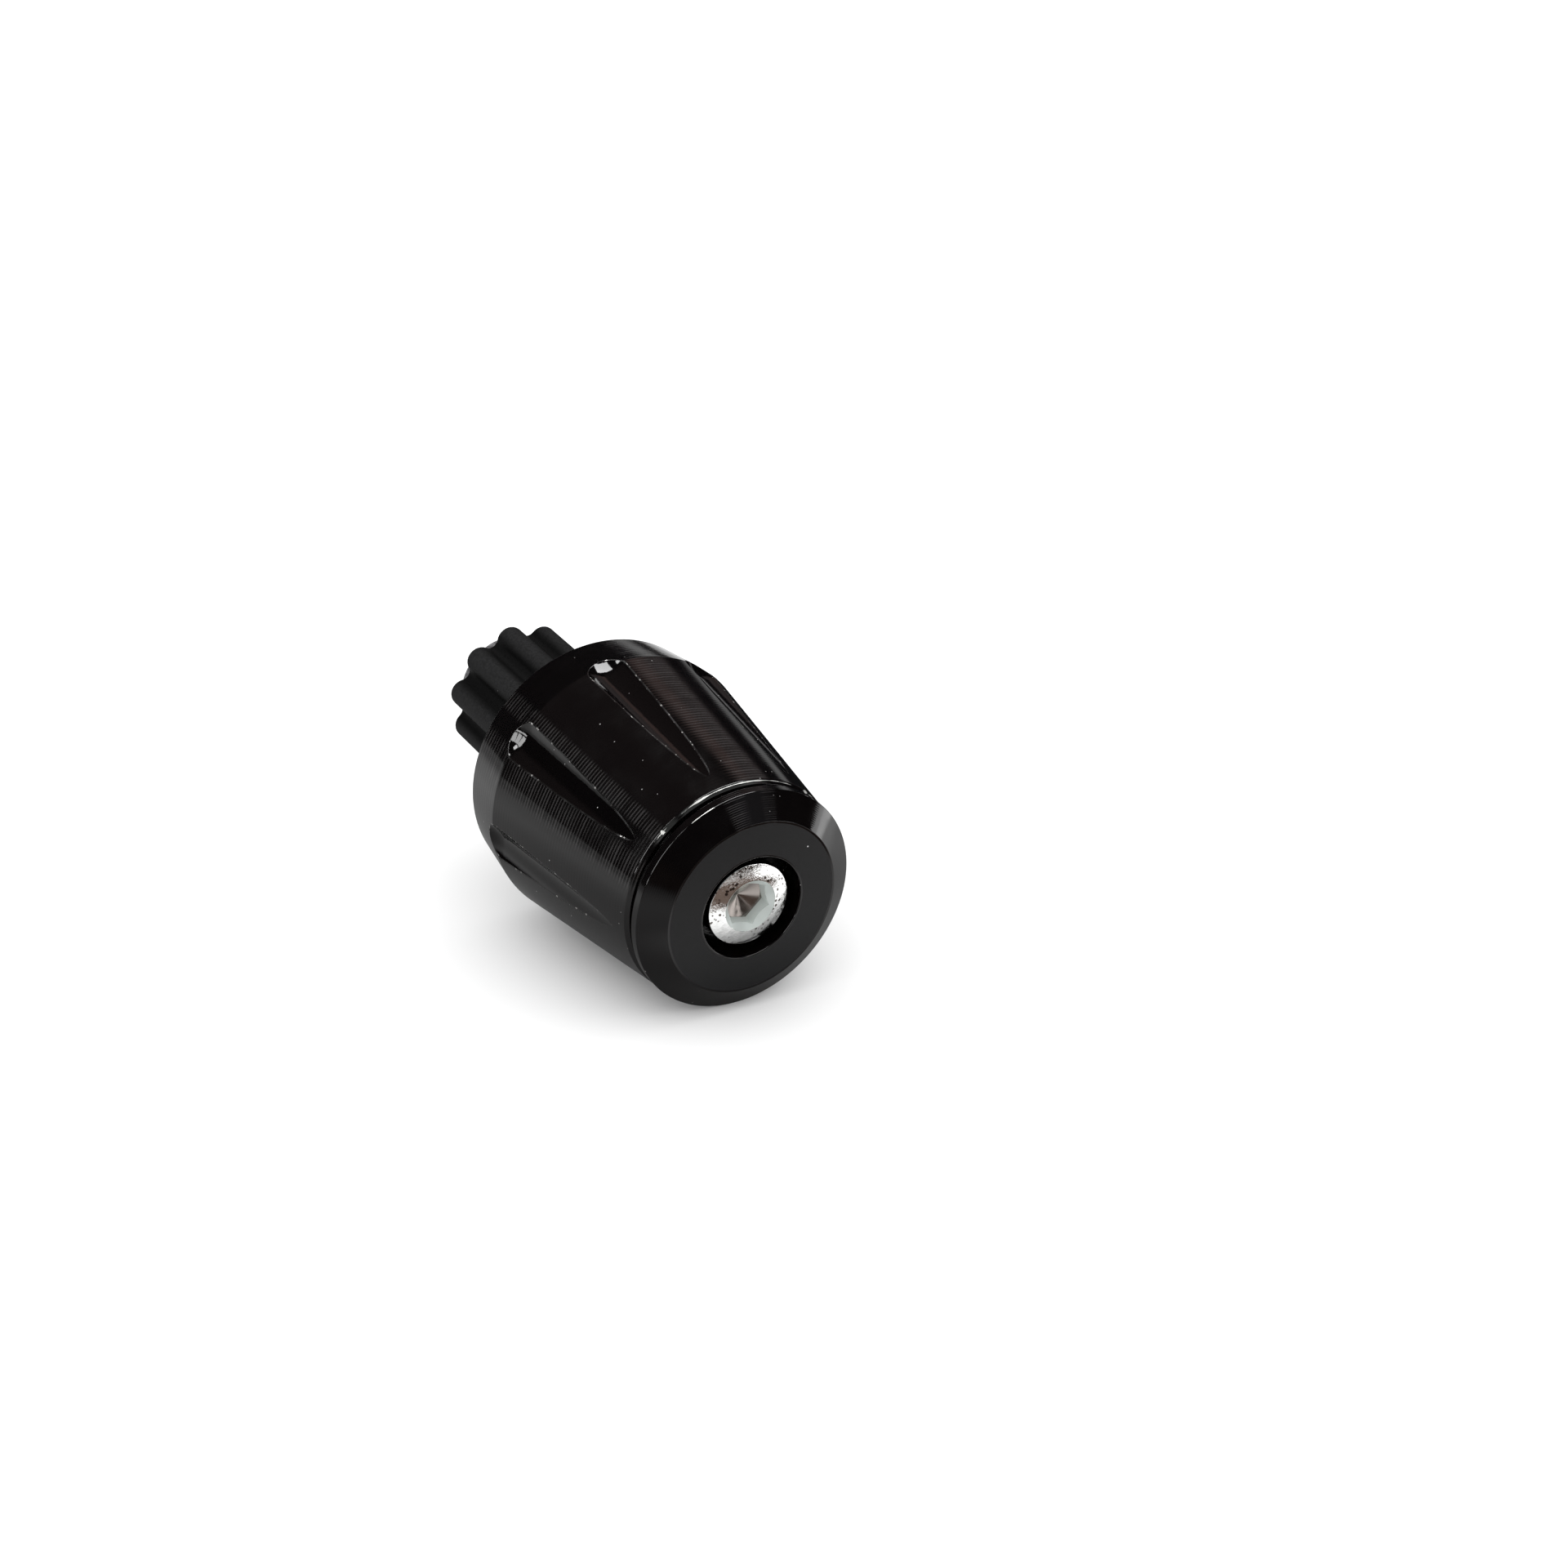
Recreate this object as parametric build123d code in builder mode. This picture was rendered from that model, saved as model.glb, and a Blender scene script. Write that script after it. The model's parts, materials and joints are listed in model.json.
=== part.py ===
from build123d import *
import os
from math import atan2, cos, degrees, pi, sin, sqrt

# Bar end weight. A fluted, tapered weight and its bevelled end cap are clamped by a long screw, which draws a
# cone nut into a lobed rubber plug. The plug swells and grips the inside of a handlebar.
# Millimetres. The bar's axis is Y, the cap faces -Y, the plug points to +Y, and Z is up. The origin is the centre
# of the shoulder that meets the end of the bar.

# Weight body
weight_length = 38.0
front_diameter = 28.3
widest_diameter = 35.3
shoulder_diameter = 33.4
shoulder_band = 7.3
front_chamfer = 0.45

# Flutes, cut by a ball-nosed cutter that rises slowly and runs out near the front of the taper
flute_count = 8
flute_cutter_diameter = 8.0
flute_depth = 1.0
flute_setback = 8.35
flute_run_out = 2.9
flute_angle = 10.2

# End cap
cap_diameter = 28.1
cap_face_diameter = 22.1
cap_bevel_length = 2.0
cap_rim_length = 1.15
groove_width = 0.95
groove_depth = 1.9
spigot_diameter = 20.0
spigot_length = 6.0
counterbore_diameter = 13.0

# Clamp screw
screw_diameter = 6.0
screw_overhang = 3.0
screw_point_chamfer = 0.8
head_diameter = 10.5
head_height = 6.0
head_dome = 0.8
head_recess = 0.1
socket_across_flats = 5.0
socket_depth = 2.4
socket_mouth_diameter = 6.6
socket_point = 0.9
socket_corner_angle = 45.0

# Expander plug
plug_reach = 22.0
plug_seat_depth = 1.5
plug_diameter = 18.8
plug_valley_diameter = 15.5
lobe_count = 10
lobe_tip_radius = 1.8
lobe_angle = -10.3
plug_lead_in_length = 1.0
plug_lead_in_depth = 0.7

# Expander nut
nut_diameter = 13.2
nut_flange_thickness = 2.5
nut_edge_chamfer = 0.5
nut_thread_chamfer = 0.6
nut_cone_diameter = 11.0
nut_nose_diameter = 8.6
nut_cone_length = 7.0

# Clearances, all on the radius or along the axis
spigot_clearance = 0.05
spigot_end_gap = 0.3
screw_clearance = 0.3
thread_clearance = 0.05
plug_seat_clearance = 0.4
cone_clearance = 0.1

# Stations along the axis
cap_front = -weight_length
cap_rim_start = cap_front + cap_bevel_length
cap_rim_end = cap_rim_start + cap_rim_length
body_front = cap_rim_end + groove_width
spigot_end = body_front + spigot_length
spigot_bore_end = spigot_end + spigot_end_gap
head_crown = cap_front + head_recess
head_seat = head_crown + head_height
nut_end = plug_reach + nut_flange_thickness
screw_end = nut_end + screw_overhang
nose_end = plug_reach - nut_cone_length

# Radii that several pieces share
screw_radius = screw_diameter / 2
screw_hole_radius = screw_radius + screw_clearance
neck_radius = cap_diameter / 2 - groove_depth
spigot_radius = spigot_diameter / 2
spigot_bore_radius = spigot_radius + spigot_clearance
plug_seat_radius = plug_diameter / 2 + plug_seat_clearance

# Flute floor, measured from the shoulder towards the cap
taper_end = -body_front - front_chamfer
taper_slope = (widest_diameter - front_diameter) / 2 / (taper_end - shoulder_band)
flute_tip = -body_front - flute_run_out
flute_start_floor = widest_diameter / 2 - taper_slope * (flute_setback - shoulder_band) - flute_depth
flute_tip_floor = widest_diameter / 2 - taper_slope * (flute_tip - shoulder_band)
flute_tilt = atan2(flute_start_floor - flute_tip_floor, flute_tip - flute_setback)

os.makedirs("parts", exist_ok=True)


# Ball-nosed cutter path, in the shoulder's own frame: X outwards, Z towards the cap
with BuildPart() as flute_path:
    cutter_radius = flute_cutter_diameter / 2
    cutter_centre = (flute_start_floor + cutter_radius / cos(flute_tilt), 0, flute_setback)
    with Locations(Location(cutter_centre, (0, -degrees(flute_tilt), 0))):
        Sphere(cutter_radius)
        Cylinder(cutter_radius, weight_length, align=(Align.CENTER, Align.CENTER, Align.MIN))

# Weight body: turned taper with a spigot bore at the front and a seat for the plug in the shoulder
with BuildPart() as weight_body:
    with BuildSketch(Plane.XY) as body_section:
        with BuildLine():
            Polyline(
                (spigot_bore_radius, body_front),
                (front_diameter / 2 - front_chamfer, body_front),
                (front_diameter / 2, body_front + front_chamfer),
                (widest_diameter / 2, -shoulder_band),
                (shoulder_diameter / 2, 0),
                (plug_seat_radius, 0),
                (plug_seat_radius, -plug_seat_depth),
                (screw_hole_radius, -plug_seat_depth),
                (screw_hole_radius, spigot_bore_end),
                (spigot_bore_radius, spigot_bore_end),
                close=True,
            )
        make_face()
    revolve(axis=Axis.Y)
    with Locations(Plane.XZ):
        with PolarLocations(0, flute_count, start_angle=flute_angle):
            add(flute_path.part, mode=Mode.SUBTRACT)

# End cap: bevelled rim, a neck that leaves the groove, and a spigot that centres it in the body
with BuildPart() as end_cap:
    with BuildSketch(Plane.XY) as cap_section:
        with BuildLine():
            Polyline(
                (counterbore_diameter / 2, cap_front),
                (cap_face_diameter / 2, cap_front),
                (cap_diameter / 2, cap_rim_start),
                (cap_diameter / 2, cap_rim_end),
                (neck_radius, cap_rim_end),
                (neck_radius, body_front),
                (spigot_radius, body_front),
                (spigot_radius, spigot_end),
                (screw_hole_radius, spigot_end),
                (screw_hole_radius, head_seat),
                (counterbore_diameter / 2, head_seat),
                close=True,
            )
        make_face()
    revolve(axis=Axis.Y)

# Clamp screw: domed cap head with a hexagon socket
with BuildPart() as clamp_screw:
    dome_edge = head_crown + head_dome
    head_radius = head_diameter / 2
    dome_radius = (head_radius**2 + head_dome**2) / (2 * head_dome)
    dome_mid_angle = atan2(head_radius, dome_radius - head_dome) / 2
    dome_mid = (dome_radius * sin(dome_mid_angle), head_crown + dome_radius * (1 - cos(dome_mid_angle)))
    with BuildSketch(Plane.XY) as screw_section:
        with BuildLine():
            dome = ThreePointArc((0, head_crown), dome_mid, (head_radius, dome_edge))
            Polyline(
                dome @ 1,
                (head_radius, head_seat),
                (screw_radius, head_seat),
                (screw_radius, screw_end - screw_point_chamfer),
                (screw_radius - screw_point_chamfer, screw_end),
                (0, screw_end),
                dome @ 0,
            )
        make_face()
    revolve(axis=Axis.Y)
    socket_radius = socket_across_flats / 2
    mouth_radius = socket_mouth_diameter / 2
    mouth_station = head_crown + dome_radius - sqrt(dome_radius**2 - mouth_radius**2)
    socket_floor = head_crown + socket_depth
    with BuildSketch(Plane.XZ.offset(-head_crown)) as socket_section:
        RegularPolygon(socket_radius, 6, major_radius=False, rotation=socket_corner_angle)
    extrude(amount=-socket_depth, mode=Mode.SUBTRACT)
    with BuildSketch(Plane.XY) as socket_turned_section:
        with BuildLine():
            Polyline(
                (0, head_crown),
                (mouth_radius, head_crown),
                (mouth_radius, mouth_station),
                (socket_radius, mouth_station + mouth_radius - socket_radius),
                (socket_radius, socket_floor),
                (0, socket_floor + socket_point),
                close=True,
            )
        make_face()
    revolve(axis=Axis.Y, mode=Mode.SUBTRACT)

# Expander plug: crest and valley arcs that run into each other, with a lead-in and a coned mouth at the free end
with BuildPart() as expander_plug:
    half_pitch = pi / lobe_count
    crest_ring = plug_diameter / 2 - lobe_tip_radius
    valley_wall = plug_valley_diameter / 2
    valley_ring = (crest_ring**2 - (valley_wall - lobe_tip_radius) ** 2) / (
        2 * (crest_ring * cos(half_pitch) + lobe_tip_radius - valley_wall)
    )
    valley_radius = valley_ring - valley_wall
    crest_sweep = degrees(
        atan2(valley_ring * sin(half_pitch), valley_ring * cos(half_pitch) - crest_ring)
    )
    valley_sweep = crest_sweep - degrees(half_pitch)
    with BuildSketch(Plane.XZ.offset(plug_seat_depth)) as plug_section:
        with BuildLine():
            for lobe in range(lobe_count):
                crest_turn = lobe_angle + lobe * 2 * degrees(half_pitch)
                valley_turn = crest_turn + degrees(half_pitch)
                crest_centre = Vector(crest_ring, 0).rotate(Axis.Z, crest_turn)
                valley_centre = Vector(valley_ring, 0).rotate(Axis.Z, valley_turn)
                CenterArc(crest_centre, lobe_tip_radius, crest_turn - crest_sweep, 2 * crest_sweep)
                CenterArc(valley_centre, valley_radius, valley_turn + 180 - valley_sweep, 2 * valley_sweep)
        make_face()
    extrude(amount=-(plug_seat_depth + plug_reach))
    with BuildSketch(Plane.XY) as plug_cut_section:
        with BuildLine():
            Polyline(
                (plug_diameter / 2 + plug_lead_in_depth, plug_reach - 2 * plug_lead_in_length),
                (plug_diameter / 2 + plug_lead_in_depth, plug_reach),
                (plug_diameter / 2 - plug_lead_in_depth, plug_reach),
                close=True,
            )
        make_face()
        with BuildLine():
            Polyline(
                (0, -plug_seat_depth),
                (screw_hole_radius, -plug_seat_depth),
                (screw_hole_radius, nose_end - cone_clearance),
                (nut_nose_diameter / 2 + cone_clearance, nose_end - cone_clearance),
                (nut_cone_diameter / 2 + cone_clearance, plug_reach),
                (0, plug_reach),
                close=True,
            )
        make_face()
    revolve(axis=Axis.Y, mode=Mode.SUBTRACT)

# Expander nut: flange against the plug's end and a cone in its mouth
with BuildPart() as expander_nut:
    thread_radius = screw_radius + thread_clearance
    with BuildSketch(Plane.XY) as nut_section:
        with BuildLine():
            Polyline(
                (thread_radius, nose_end),
                (nut_nose_diameter / 2, nose_end),
                (nut_cone_diameter / 2, plug_reach),
                (nut_diameter / 2, plug_reach),
                (nut_diameter / 2, nut_end - nut_edge_chamfer),
                (nut_diameter / 2 - nut_edge_chamfer, nut_end),
                (thread_radius + nut_thread_chamfer, nut_end),
                (thread_radius, nut_end - nut_thread_chamfer),
                close=True,
            )
        make_face()
    revolve(axis=Axis.Y)

weight_body.part.label = "weight_body"
export_step(weight_body.part, "parts/weight_body.step")
end_cap.part.label = "end_cap"
export_step(end_cap.part, "parts/end_cap.step")
clamp_screw.part.label = "clamp_screw"
export_step(clamp_screw.part, "parts/clamp_screw.step")
expander_plug.part.label = "expander_plug"
export_step(expander_plug.part, "parts/expander_plug.step")
expander_nut.part.label = "expander_nut"
export_step(expander_nut.part, "parts/expander_nut.step")
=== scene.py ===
"""Looks of a bar end weight: fluted weight, bevelled cap, socket screw, rubber plug and cone nut.

Sizes are millimetres in the part's own frame: the bar's axis is Y, the cap faces -Y and Z is up. Each
piece is a mesh of exact surfaces with their own normals, and stands for the solid of the same piece.
"""

import json
import logging
from abc import ABC, abstractmethod
from collections.abc import Callable, Sequence
from dataclasses import dataclass
from enum import Enum
from functools import cached_property
from math import asin, atan2, cos, pi, radians, sin, sqrt, tan

import bpy
import numpy as np
from mathutils import Matrix, Vector


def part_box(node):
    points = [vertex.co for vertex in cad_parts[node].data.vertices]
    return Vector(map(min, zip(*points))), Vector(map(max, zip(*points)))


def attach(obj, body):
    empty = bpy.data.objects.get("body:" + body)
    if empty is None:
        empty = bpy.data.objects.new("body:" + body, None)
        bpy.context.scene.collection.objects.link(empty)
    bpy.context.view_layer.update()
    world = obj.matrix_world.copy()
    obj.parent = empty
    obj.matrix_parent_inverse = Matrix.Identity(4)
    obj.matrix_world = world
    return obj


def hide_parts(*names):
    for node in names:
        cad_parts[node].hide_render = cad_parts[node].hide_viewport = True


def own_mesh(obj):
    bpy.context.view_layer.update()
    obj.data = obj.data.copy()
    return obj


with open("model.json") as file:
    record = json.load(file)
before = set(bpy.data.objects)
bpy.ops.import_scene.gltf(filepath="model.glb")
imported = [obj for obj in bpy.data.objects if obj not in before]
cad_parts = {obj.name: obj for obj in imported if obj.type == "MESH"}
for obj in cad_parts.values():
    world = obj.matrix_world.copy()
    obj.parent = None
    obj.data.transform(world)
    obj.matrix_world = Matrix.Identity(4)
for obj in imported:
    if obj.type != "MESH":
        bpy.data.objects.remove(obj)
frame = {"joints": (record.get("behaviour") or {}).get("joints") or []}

LOG = logging.getLogger("bar_end_weight")
MM = 0.001
WELD = 1e-4
HALVINGS = 48
FRAME_DECIMALS = 3
ROW_DECIMALS = 6
NOISE_MIDDLE = 0.5
NOISE_SPREAD = (0.3, 0.7)
HALF_TURN = 180.0

Span = tuple[float, float]
Colour = tuple[float, float, float]
Grid = tuple[np.ndarray, np.ndarray]
Material = bpy.types.Material
NodeTree = bpy.types.NodeTree
Signal = bpy.types.NodeSocket
Feed = float | Sequence[float] | Signal


class Body(Enum):
    """The bodies that pieces ride on."""

    WEIGHT = "weight"
    SCREW = "screw"
    NUT = "nut"


@dataclass(frozen=True)
class Corner:
    """A corner of a turned outline.

    The outline has the metal on its left, so the front face runs outwards and the rim runs to +Y.
    """

    radius: float
    station: float
    rounding: float = 0.0


def ends(node: str) -> Span:
    """Where a solid starts and ends along the bar's axis."""
    lowest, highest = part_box(node)
    return round(lowest.y / MM, FRAME_DECIMALS), round(highest.y / MM, FRAME_DECIMALS)


def travel(name: str) -> float:
    """How far a sliding joint goes from rest."""
    return next(joint["range_m"][1] / MM for joint in frame["joints"] if joint["name"] == name)


# Places and sizes that pieces, their finishes and the studio share
BODY_FRONT = ends("weight_body")[0]
PLUG_START, PLUG_END = ends("expander_plug")
HEAD_SEAT = -31.9
SCREW_HOLE_RADIUS = 3.3
WIDEST_RING = Corner(17.65, -7.3)
SHOULDER_RIM = Corner(16.7, 0.0)
CAP_RIM = Corner(14.05, -36.0)


def rounded_outline(corners: Sequence[Corner], steps: int = 4) -> Grid:
    """Follows straight runs and rounds the corners between them.

    Args:
        corners: The outline's corners, in order.
        steps: Parts of each rounding.

    Returns:
        Points and normals, each as rows of (radius, station).
    """
    points = np.array([(corner.radius, corner.station) for corner in corners])
    runs = np.diff(points, axis=0)
    runs /= np.linalg.norm(runs, axis=1, keepdims=True)
    facing = np.column_stack([runs[:, 1], -runs[:, 0]])
    path, normals = [points[0]], [facing[0]]
    for corner, place, before, after, face in zip(corners[1:], points[1:], runs, runs[1:], facing):
        turn = atan2(before[0] * after[1] - before[1] * after[0], before @ after)
        side = 1.0 if turn > 0 else -1.0
        back = corner.rounding * tan(abs(turn) / 2)
        centre = place - back * before - side * corner.rounding * face
        for part in np.linspace(0, turn, steps + 1):
            normal = cos(part) * face + sin(part) * np.array([-face[1], face[0]])
            path.append(centre + side * corner.rounding * normal)
            normals.append(normal)
    path.append(points[-1])
    normals.append(facing[-1])
    return np.array(path), np.array(normals)


def turned(outline: Grid, angles: np.ndarray) -> Grid:
    """Turns an outline about the bar's axis.

    Args:
        outline: Points and normals, as rows of (radius, station).
        angles: The columns' angles, from +X towards +Z.

    Returns:
        Points and normals, as rows by columns by three.
    """
    around = np.array([np.cos(angles), np.sin(angles)])

    def swept(rows: np.ndarray) -> np.ndarray:
        """Gives each row its columns.

        Args:
            rows: Rows of (radius, station).

        Returns:
            Rows by columns by three.
        """
        across = rows[:, :1, None] * around[None]
        along = np.broadcast_to(rows[:, 1:], (len(rows), len(angles)))
        return np.stack([across[:, 0], along, across[:, 1]], axis=-1)

    return swept(outline[0]), swept(outline[1])


def ring(columns: int, start: float = 0.0) -> np.ndarray:
    """Even angles round a full turn, from start in radians."""
    return start + np.arange(columns) * 2 * pi / columns


def crossing(falling: Callable[[float], float], low: float, high: float) -> float:
    """Finds where a falling function passes 0.

    Args:
        falling: The function, above 0 at low and below 0 at high.
        low: Where the search starts.
        high: Where it stops.

    Returns:
        The place of the crossing.
    """
    for _ in range(HALVINGS):
        middle = (low + high) / 2
        low, high = (middle, high) if falling(middle) > 0 else (low, middle)
    return (low + high) / 2


class SurfaceMesh:
    """Grids of points with their own normals, joined into one welded mesh."""

    def __init__(self, name: str) -> None:
        """Starts an empty mesh under the piece's name.

        Args:
            name: The name of the mesh and its object.
        """
        self.name = name
        self.points: list[np.ndarray] = []
        self.normals: list[np.ndarray] = []
        self.quads: list[np.ndarray] = []
        self.slots: list[np.ndarray] = []
        self.materials: list[Material] = []
        self.count = 0

    def add(self, grid: Grid, material: Material, closed: bool = False) -> None:
        """Adds a grid of quads that face along its normals.

        Args:
            grid: Points and normals, as rows by columns by three.
            material: The material of its faces.
            closed: Whether the last column joins the first.
        """
        points, normals = grid[0].reshape(-1, 3), grid[1].reshape(-1, 3)
        index = np.arange(len(points)).reshape(grid[0].shape[:2])
        if closed:
            index = np.column_stack([index, index[:, :1]])
        around = [index[:-1, :-1], index[:-1, 1:], index[1:, 1:], index[1:, :-1]]
        quads = np.stack(around, axis=-1).reshape(-1, 4)
        corners = points[quads]
        faced = np.cross(corners[:, 2] - corners[:, 0], corners[:, 3] - corners[:, 1])
        away = (faced * normals[quads].sum(axis=1)).sum(axis=1) < 0
        quads[away] = quads[away][:, ::-1]
        if material not in self.materials:
            self.materials.append(material)
        self.points.append(points)
        self.normals.append(normals)
        self.quads.append(quads + self.count)
        self.slots.append(np.full(len(quads), self.materials.index(material)))
        self.count += len(points)

    def build(self) -> bpy.types.Object:
        """Welds the grids and makes the object.

        Returns:
            The object, in metres, in the scene's collection.
        """
        points, normals = np.concatenate(self.points), np.concatenate(self.normals)
        cells = np.round(points / WELD)
        _, first, welded = np.unique(cells, axis=0, return_index=True, return_inverse=True)
        welded = welded.ravel()
        faces, slots, facing = [], [], []
        for quad, slot in zip(np.concatenate(self.quads), np.concatenate(self.slots)):
            corners = [corner for k, corner in enumerate(quad) if welded[corner] != welded[quad[k - 1]]]
            if len({welded[corner] for corner in corners}) < 3:
                continue
            faces.append([int(welded[corner]) for corner in corners])
            slots.append(slot)
            facing.extend(corners)
        mesh = bpy.data.meshes.new(self.name)
        mesh.from_pydata(points[first] * MM, [], faces)
        mesh.polygons.foreach_set("material_index", np.array(slots, dtype=np.int32))
        lengths = np.linalg.norm(normals, axis=1, keepdims=True)
        mesh.normals_split_custom_set((normals / lengths)[facing])
        for material in self.materials:
            mesh.materials.append(material)
        piece = bpy.data.objects.new(self.name, mesh)
        bpy.context.scene.collection.objects.link(piece)
        return piece


@dataclass
class SubAssembly:
    """What all pieces have: a name, the solid that each stands for, its body and its material slot."""

    name: str
    node: str
    body: Body
    slot: str

    def settle(self, piece: bpy.types.Object) -> None:
        """Ties the finished piece to its body and its solid.

        Args:
            piece: The piece's object.
        """
        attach(piece, self.body.value)
        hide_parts(self.node)
        LOG.info("%s: %d faces on %s", piece.name, len(piece.data.polygons), self.body.value)


@dataclass
class FlutedWeight(SubAssembly):
    """The tapered weight with eight ball-nosed flutes, a spigot bore and a seat for the plug."""

    name: str = "fluted_weight"
    node: str = "weight_body"
    body: Body = Body.WEIGHT
    slot: str = "black_anodised"
    front: float = BODY_FRONT
    front_radius: float = 14.15
    front_chamfer: float = 0.45
    widest: float = WIDEST_RING.station
    widest_radius: float = WIDEST_RING.radius
    shoulder_radius: float = SHOULDER_RIM.radius
    spigot_bore_radius: float = 10.05
    spigot_bore_end: float = -27.6
    seat_radius: float = 9.8
    seat: float = PLUG_START
    flutes: int = 8
    flute_angle: float = 10.2
    cutter_radius: float = 4.0
    flute_depth: float = 1.0
    flute_end: float = -8.35
    flute_tip: float = -31.0
    edge: float = 0.1
    narrow_flute: float = 0.6
    land_columns: int = 10
    flute_columns: int = 17
    end_rows: int = 5
    run_rows: int = 45
    nose_rows: int = 25

    def __post_init__(self) -> None:
        """Works out the taper's ends, its slopes and where a flute starts and stops."""
        self.taper_start = self.front + self.front_chamfer
        self.taper_slope = (self.widest_radius - self.front_radius) / (self.widest - self.taper_start)
        self.band_slope = (self.shoulder_radius - self.widest_radius) / -self.widest
        floor = self.outer_radius(self.flute_end) - self.flute_depth
        rise = floor - self.outer_radius(self.flute_tip)
        self.cutter_tilt = atan2(rise, self.flute_end - self.flute_tip)
        self.cutter_axis = floor + self.cutter_radius / cos(self.cutter_tilt)
        self.flute_stop = crossing(self.depth, self.flute_end, self.flute_end + self.cutter_radius)
        self.first_row = self.taper_start + 2 * self.edge
        self.last_row = -2 * self.edge
        self.half_sector = pi / self.flutes

    def outer_radius(self, station: float) -> float:
        """The radius of the taper or of the rear band.

        Args:
            station: The place along the bar's axis.

        Returns:
            The radius there.
        """
        if station < self.widest:
            return self.front_radius + self.taper_slope * (station - self.taper_start)
        return self.widest_radius + self.band_slope * (station - self.widest)

    def depth(self, station: float) -> float:
        """How deep the middle of a flute is there."""
        return self.outer_radius(station) - self.cut(station, 0.0)[0]

    def cut(self, station: float, sideways: float) -> tuple[float, np.ndarray]:
        """The cutter's surface, a tilted cylinder with a ball at its rear end.

        Args:
            station: The place along the bar's axis.
            sideways: The distance from the flute's middle.

        Returns:
            How far out the surface is there, and the normal of the metal as (outwards, along, sideways).
        """
        back = station - self.flute_end
        reach = sqrt(max(self.cutter_radius**2 - sideways**2, 0.0))
        outwards = self.cutter_axis + back * tan(self.cutter_tilt) - reach / cos(self.cutter_tilt)
        if (self.cutter_axis - outwards) * sin(self.cutter_tilt) >= back * cos(self.cutter_tilt):
            normal = np.array([reach * cos(self.cutter_tilt), -reach * sin(self.cutter_tilt), -sideways])
            return outwards, normal / self.cutter_radius
        reach = sqrt(max(self.cutter_radius**2 - sideways**2 - back**2, 0.0))
        return self.cutter_axis - reach, np.array([reach, -back, -sideways]) / self.cutter_radius

    def half_width(self, station: float) -> float:
        """Half the flute's width on the outer surface.

        Args:
            station: The place along the bar's axis.

        Returns:
            The half width, which is 0 outside the flute.
        """
        if not self.flute_tip < station < self.flute_stop:
            return 0.0
        outer = self.outer_radius(station)

        def inside(side: float) -> float:
            """Above 0 where the cutter is still inside the outer surface."""
            return outer**2 - side**2 - self.cut(station, side)[0] ** 2

        return crossing(inside, 0.0, self.cutter_radius)

    def rows(self) -> list[float]:
        """Places the outer surface's rows, close where a flute starts and stops and at the widest ring.

        Returns:
            Their stations, from the front.
        """
        before = np.linspace(self.first_row, self.flute_tip, self.end_rows)
        along = np.linspace(0, 1, self.run_rows) ** 2
        run = self.flute_tip + (self.flute_end - self.flute_tip) * along
        swing = np.sin(np.linspace(0, pi / 2, self.nose_rows))
        nose = self.flute_end + (self.flute_stop - self.flute_end) * swing
        after = np.linspace(self.flute_stop, self.last_row, self.end_rows)
        stations = np.concatenate([before, run, nose, after])
        stations = stations[np.abs(stations - self.widest) > self.edge]
        crest = [self.widest - self.edge, self.widest + self.edge]
        return np.unique(np.round(np.concatenate([stations, crest]), ROW_DECIMALS)).tolist()

    def section(self, station: float) -> tuple[np.ndarray, np.ndarray, float, float]:
        """Half of one flute's section, from its rim to the middle of its floor.

        Args:
            station: Where the section is cut.

        Returns:
            Points as rows of (outwards, sideways), normals as rows of (outwards, along, sideways), the rim's
            angle from the flute's middle, and the width of its rounding, which shrinks in a narrow flute.
        """
        half = self.half_width(station)
        if half < WELD:
            middle = np.tile([self.outer_radius(station), 0.0], (self.flute_columns, 1))
            return middle, np.tile([1.0, 0.0, 0.0], (self.flute_columns, 1)), 0.0, 0.0
        rounding = self.edge * min(1.0, half / self.narrow_flute)
        across = np.linspace(half - rounding, 0.0, self.flute_columns)
        cuts = [self.cut(station, side) for side in across]
        points = np.column_stack([[outwards for outwards, _ in cuts], across])
        normals = np.array([normal for _, normal in cuts])
        return points, normals, atan2(half, self.cut(station, half)[0]), rounding

    def sector(self) -> tuple[Grid, Grid, Grid]:
        """One side of one flute, with the flute's middle at angle 0.

        Returns:
            The land's grid, the flute's grid and the rounded rim's grid.
        """
        lands, cuts, rims = [], [], []
        spread = np.linspace(0, 1, self.land_columns + 1)
        for station in self.rows():
            outer = self.outer_radius(station)
            slope = self.taper_slope if station < self.widest else self.band_slope
            points, normals, rim, rounding = self.section(station)
            start = rim + rounding / outer
            angles = start + (self.half_sector - start) * spread
            level = np.full_like(angles, station)
            land = np.column_stack([outer * np.cos(angles), level, outer * np.sin(angles)])
            tilt = np.column_stack([np.cos(angles), np.full_like(angles, -slope), np.sin(angles)])
            tilt /= sqrt(1 + slope**2)
            cut = np.column_stack([points[:, 0], np.full(len(points), station), points[:, 1]])
            lands.append((land, tilt))
            cuts.append((cut, normals))
            rims.append((np.array([cut[0], land[0]]), np.array([normals[0], tilt[0]])))
        return tuple(tuple(np.array(part) for part in zip(*grids)) for grids in (lands, cuts, rims))

    def middle(self, flute: int) -> float:
        """The angle of a flute's middle."""
        return radians(self.flute_angle) + 2 * self.half_sector * flute

    def turned_columns(self) -> np.ndarray:
        """Places the columns where no flute is, which the turned ends share with the outer surface.

        Returns:
            Their angles.
        """
        half = np.linspace(0, self.half_sector, self.land_columns + 1)
        sector = np.concatenate([-half[::-1], half[1:-1]])
        return np.concatenate([self.middle(flute) + sector for flute in range(self.flutes)])

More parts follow.
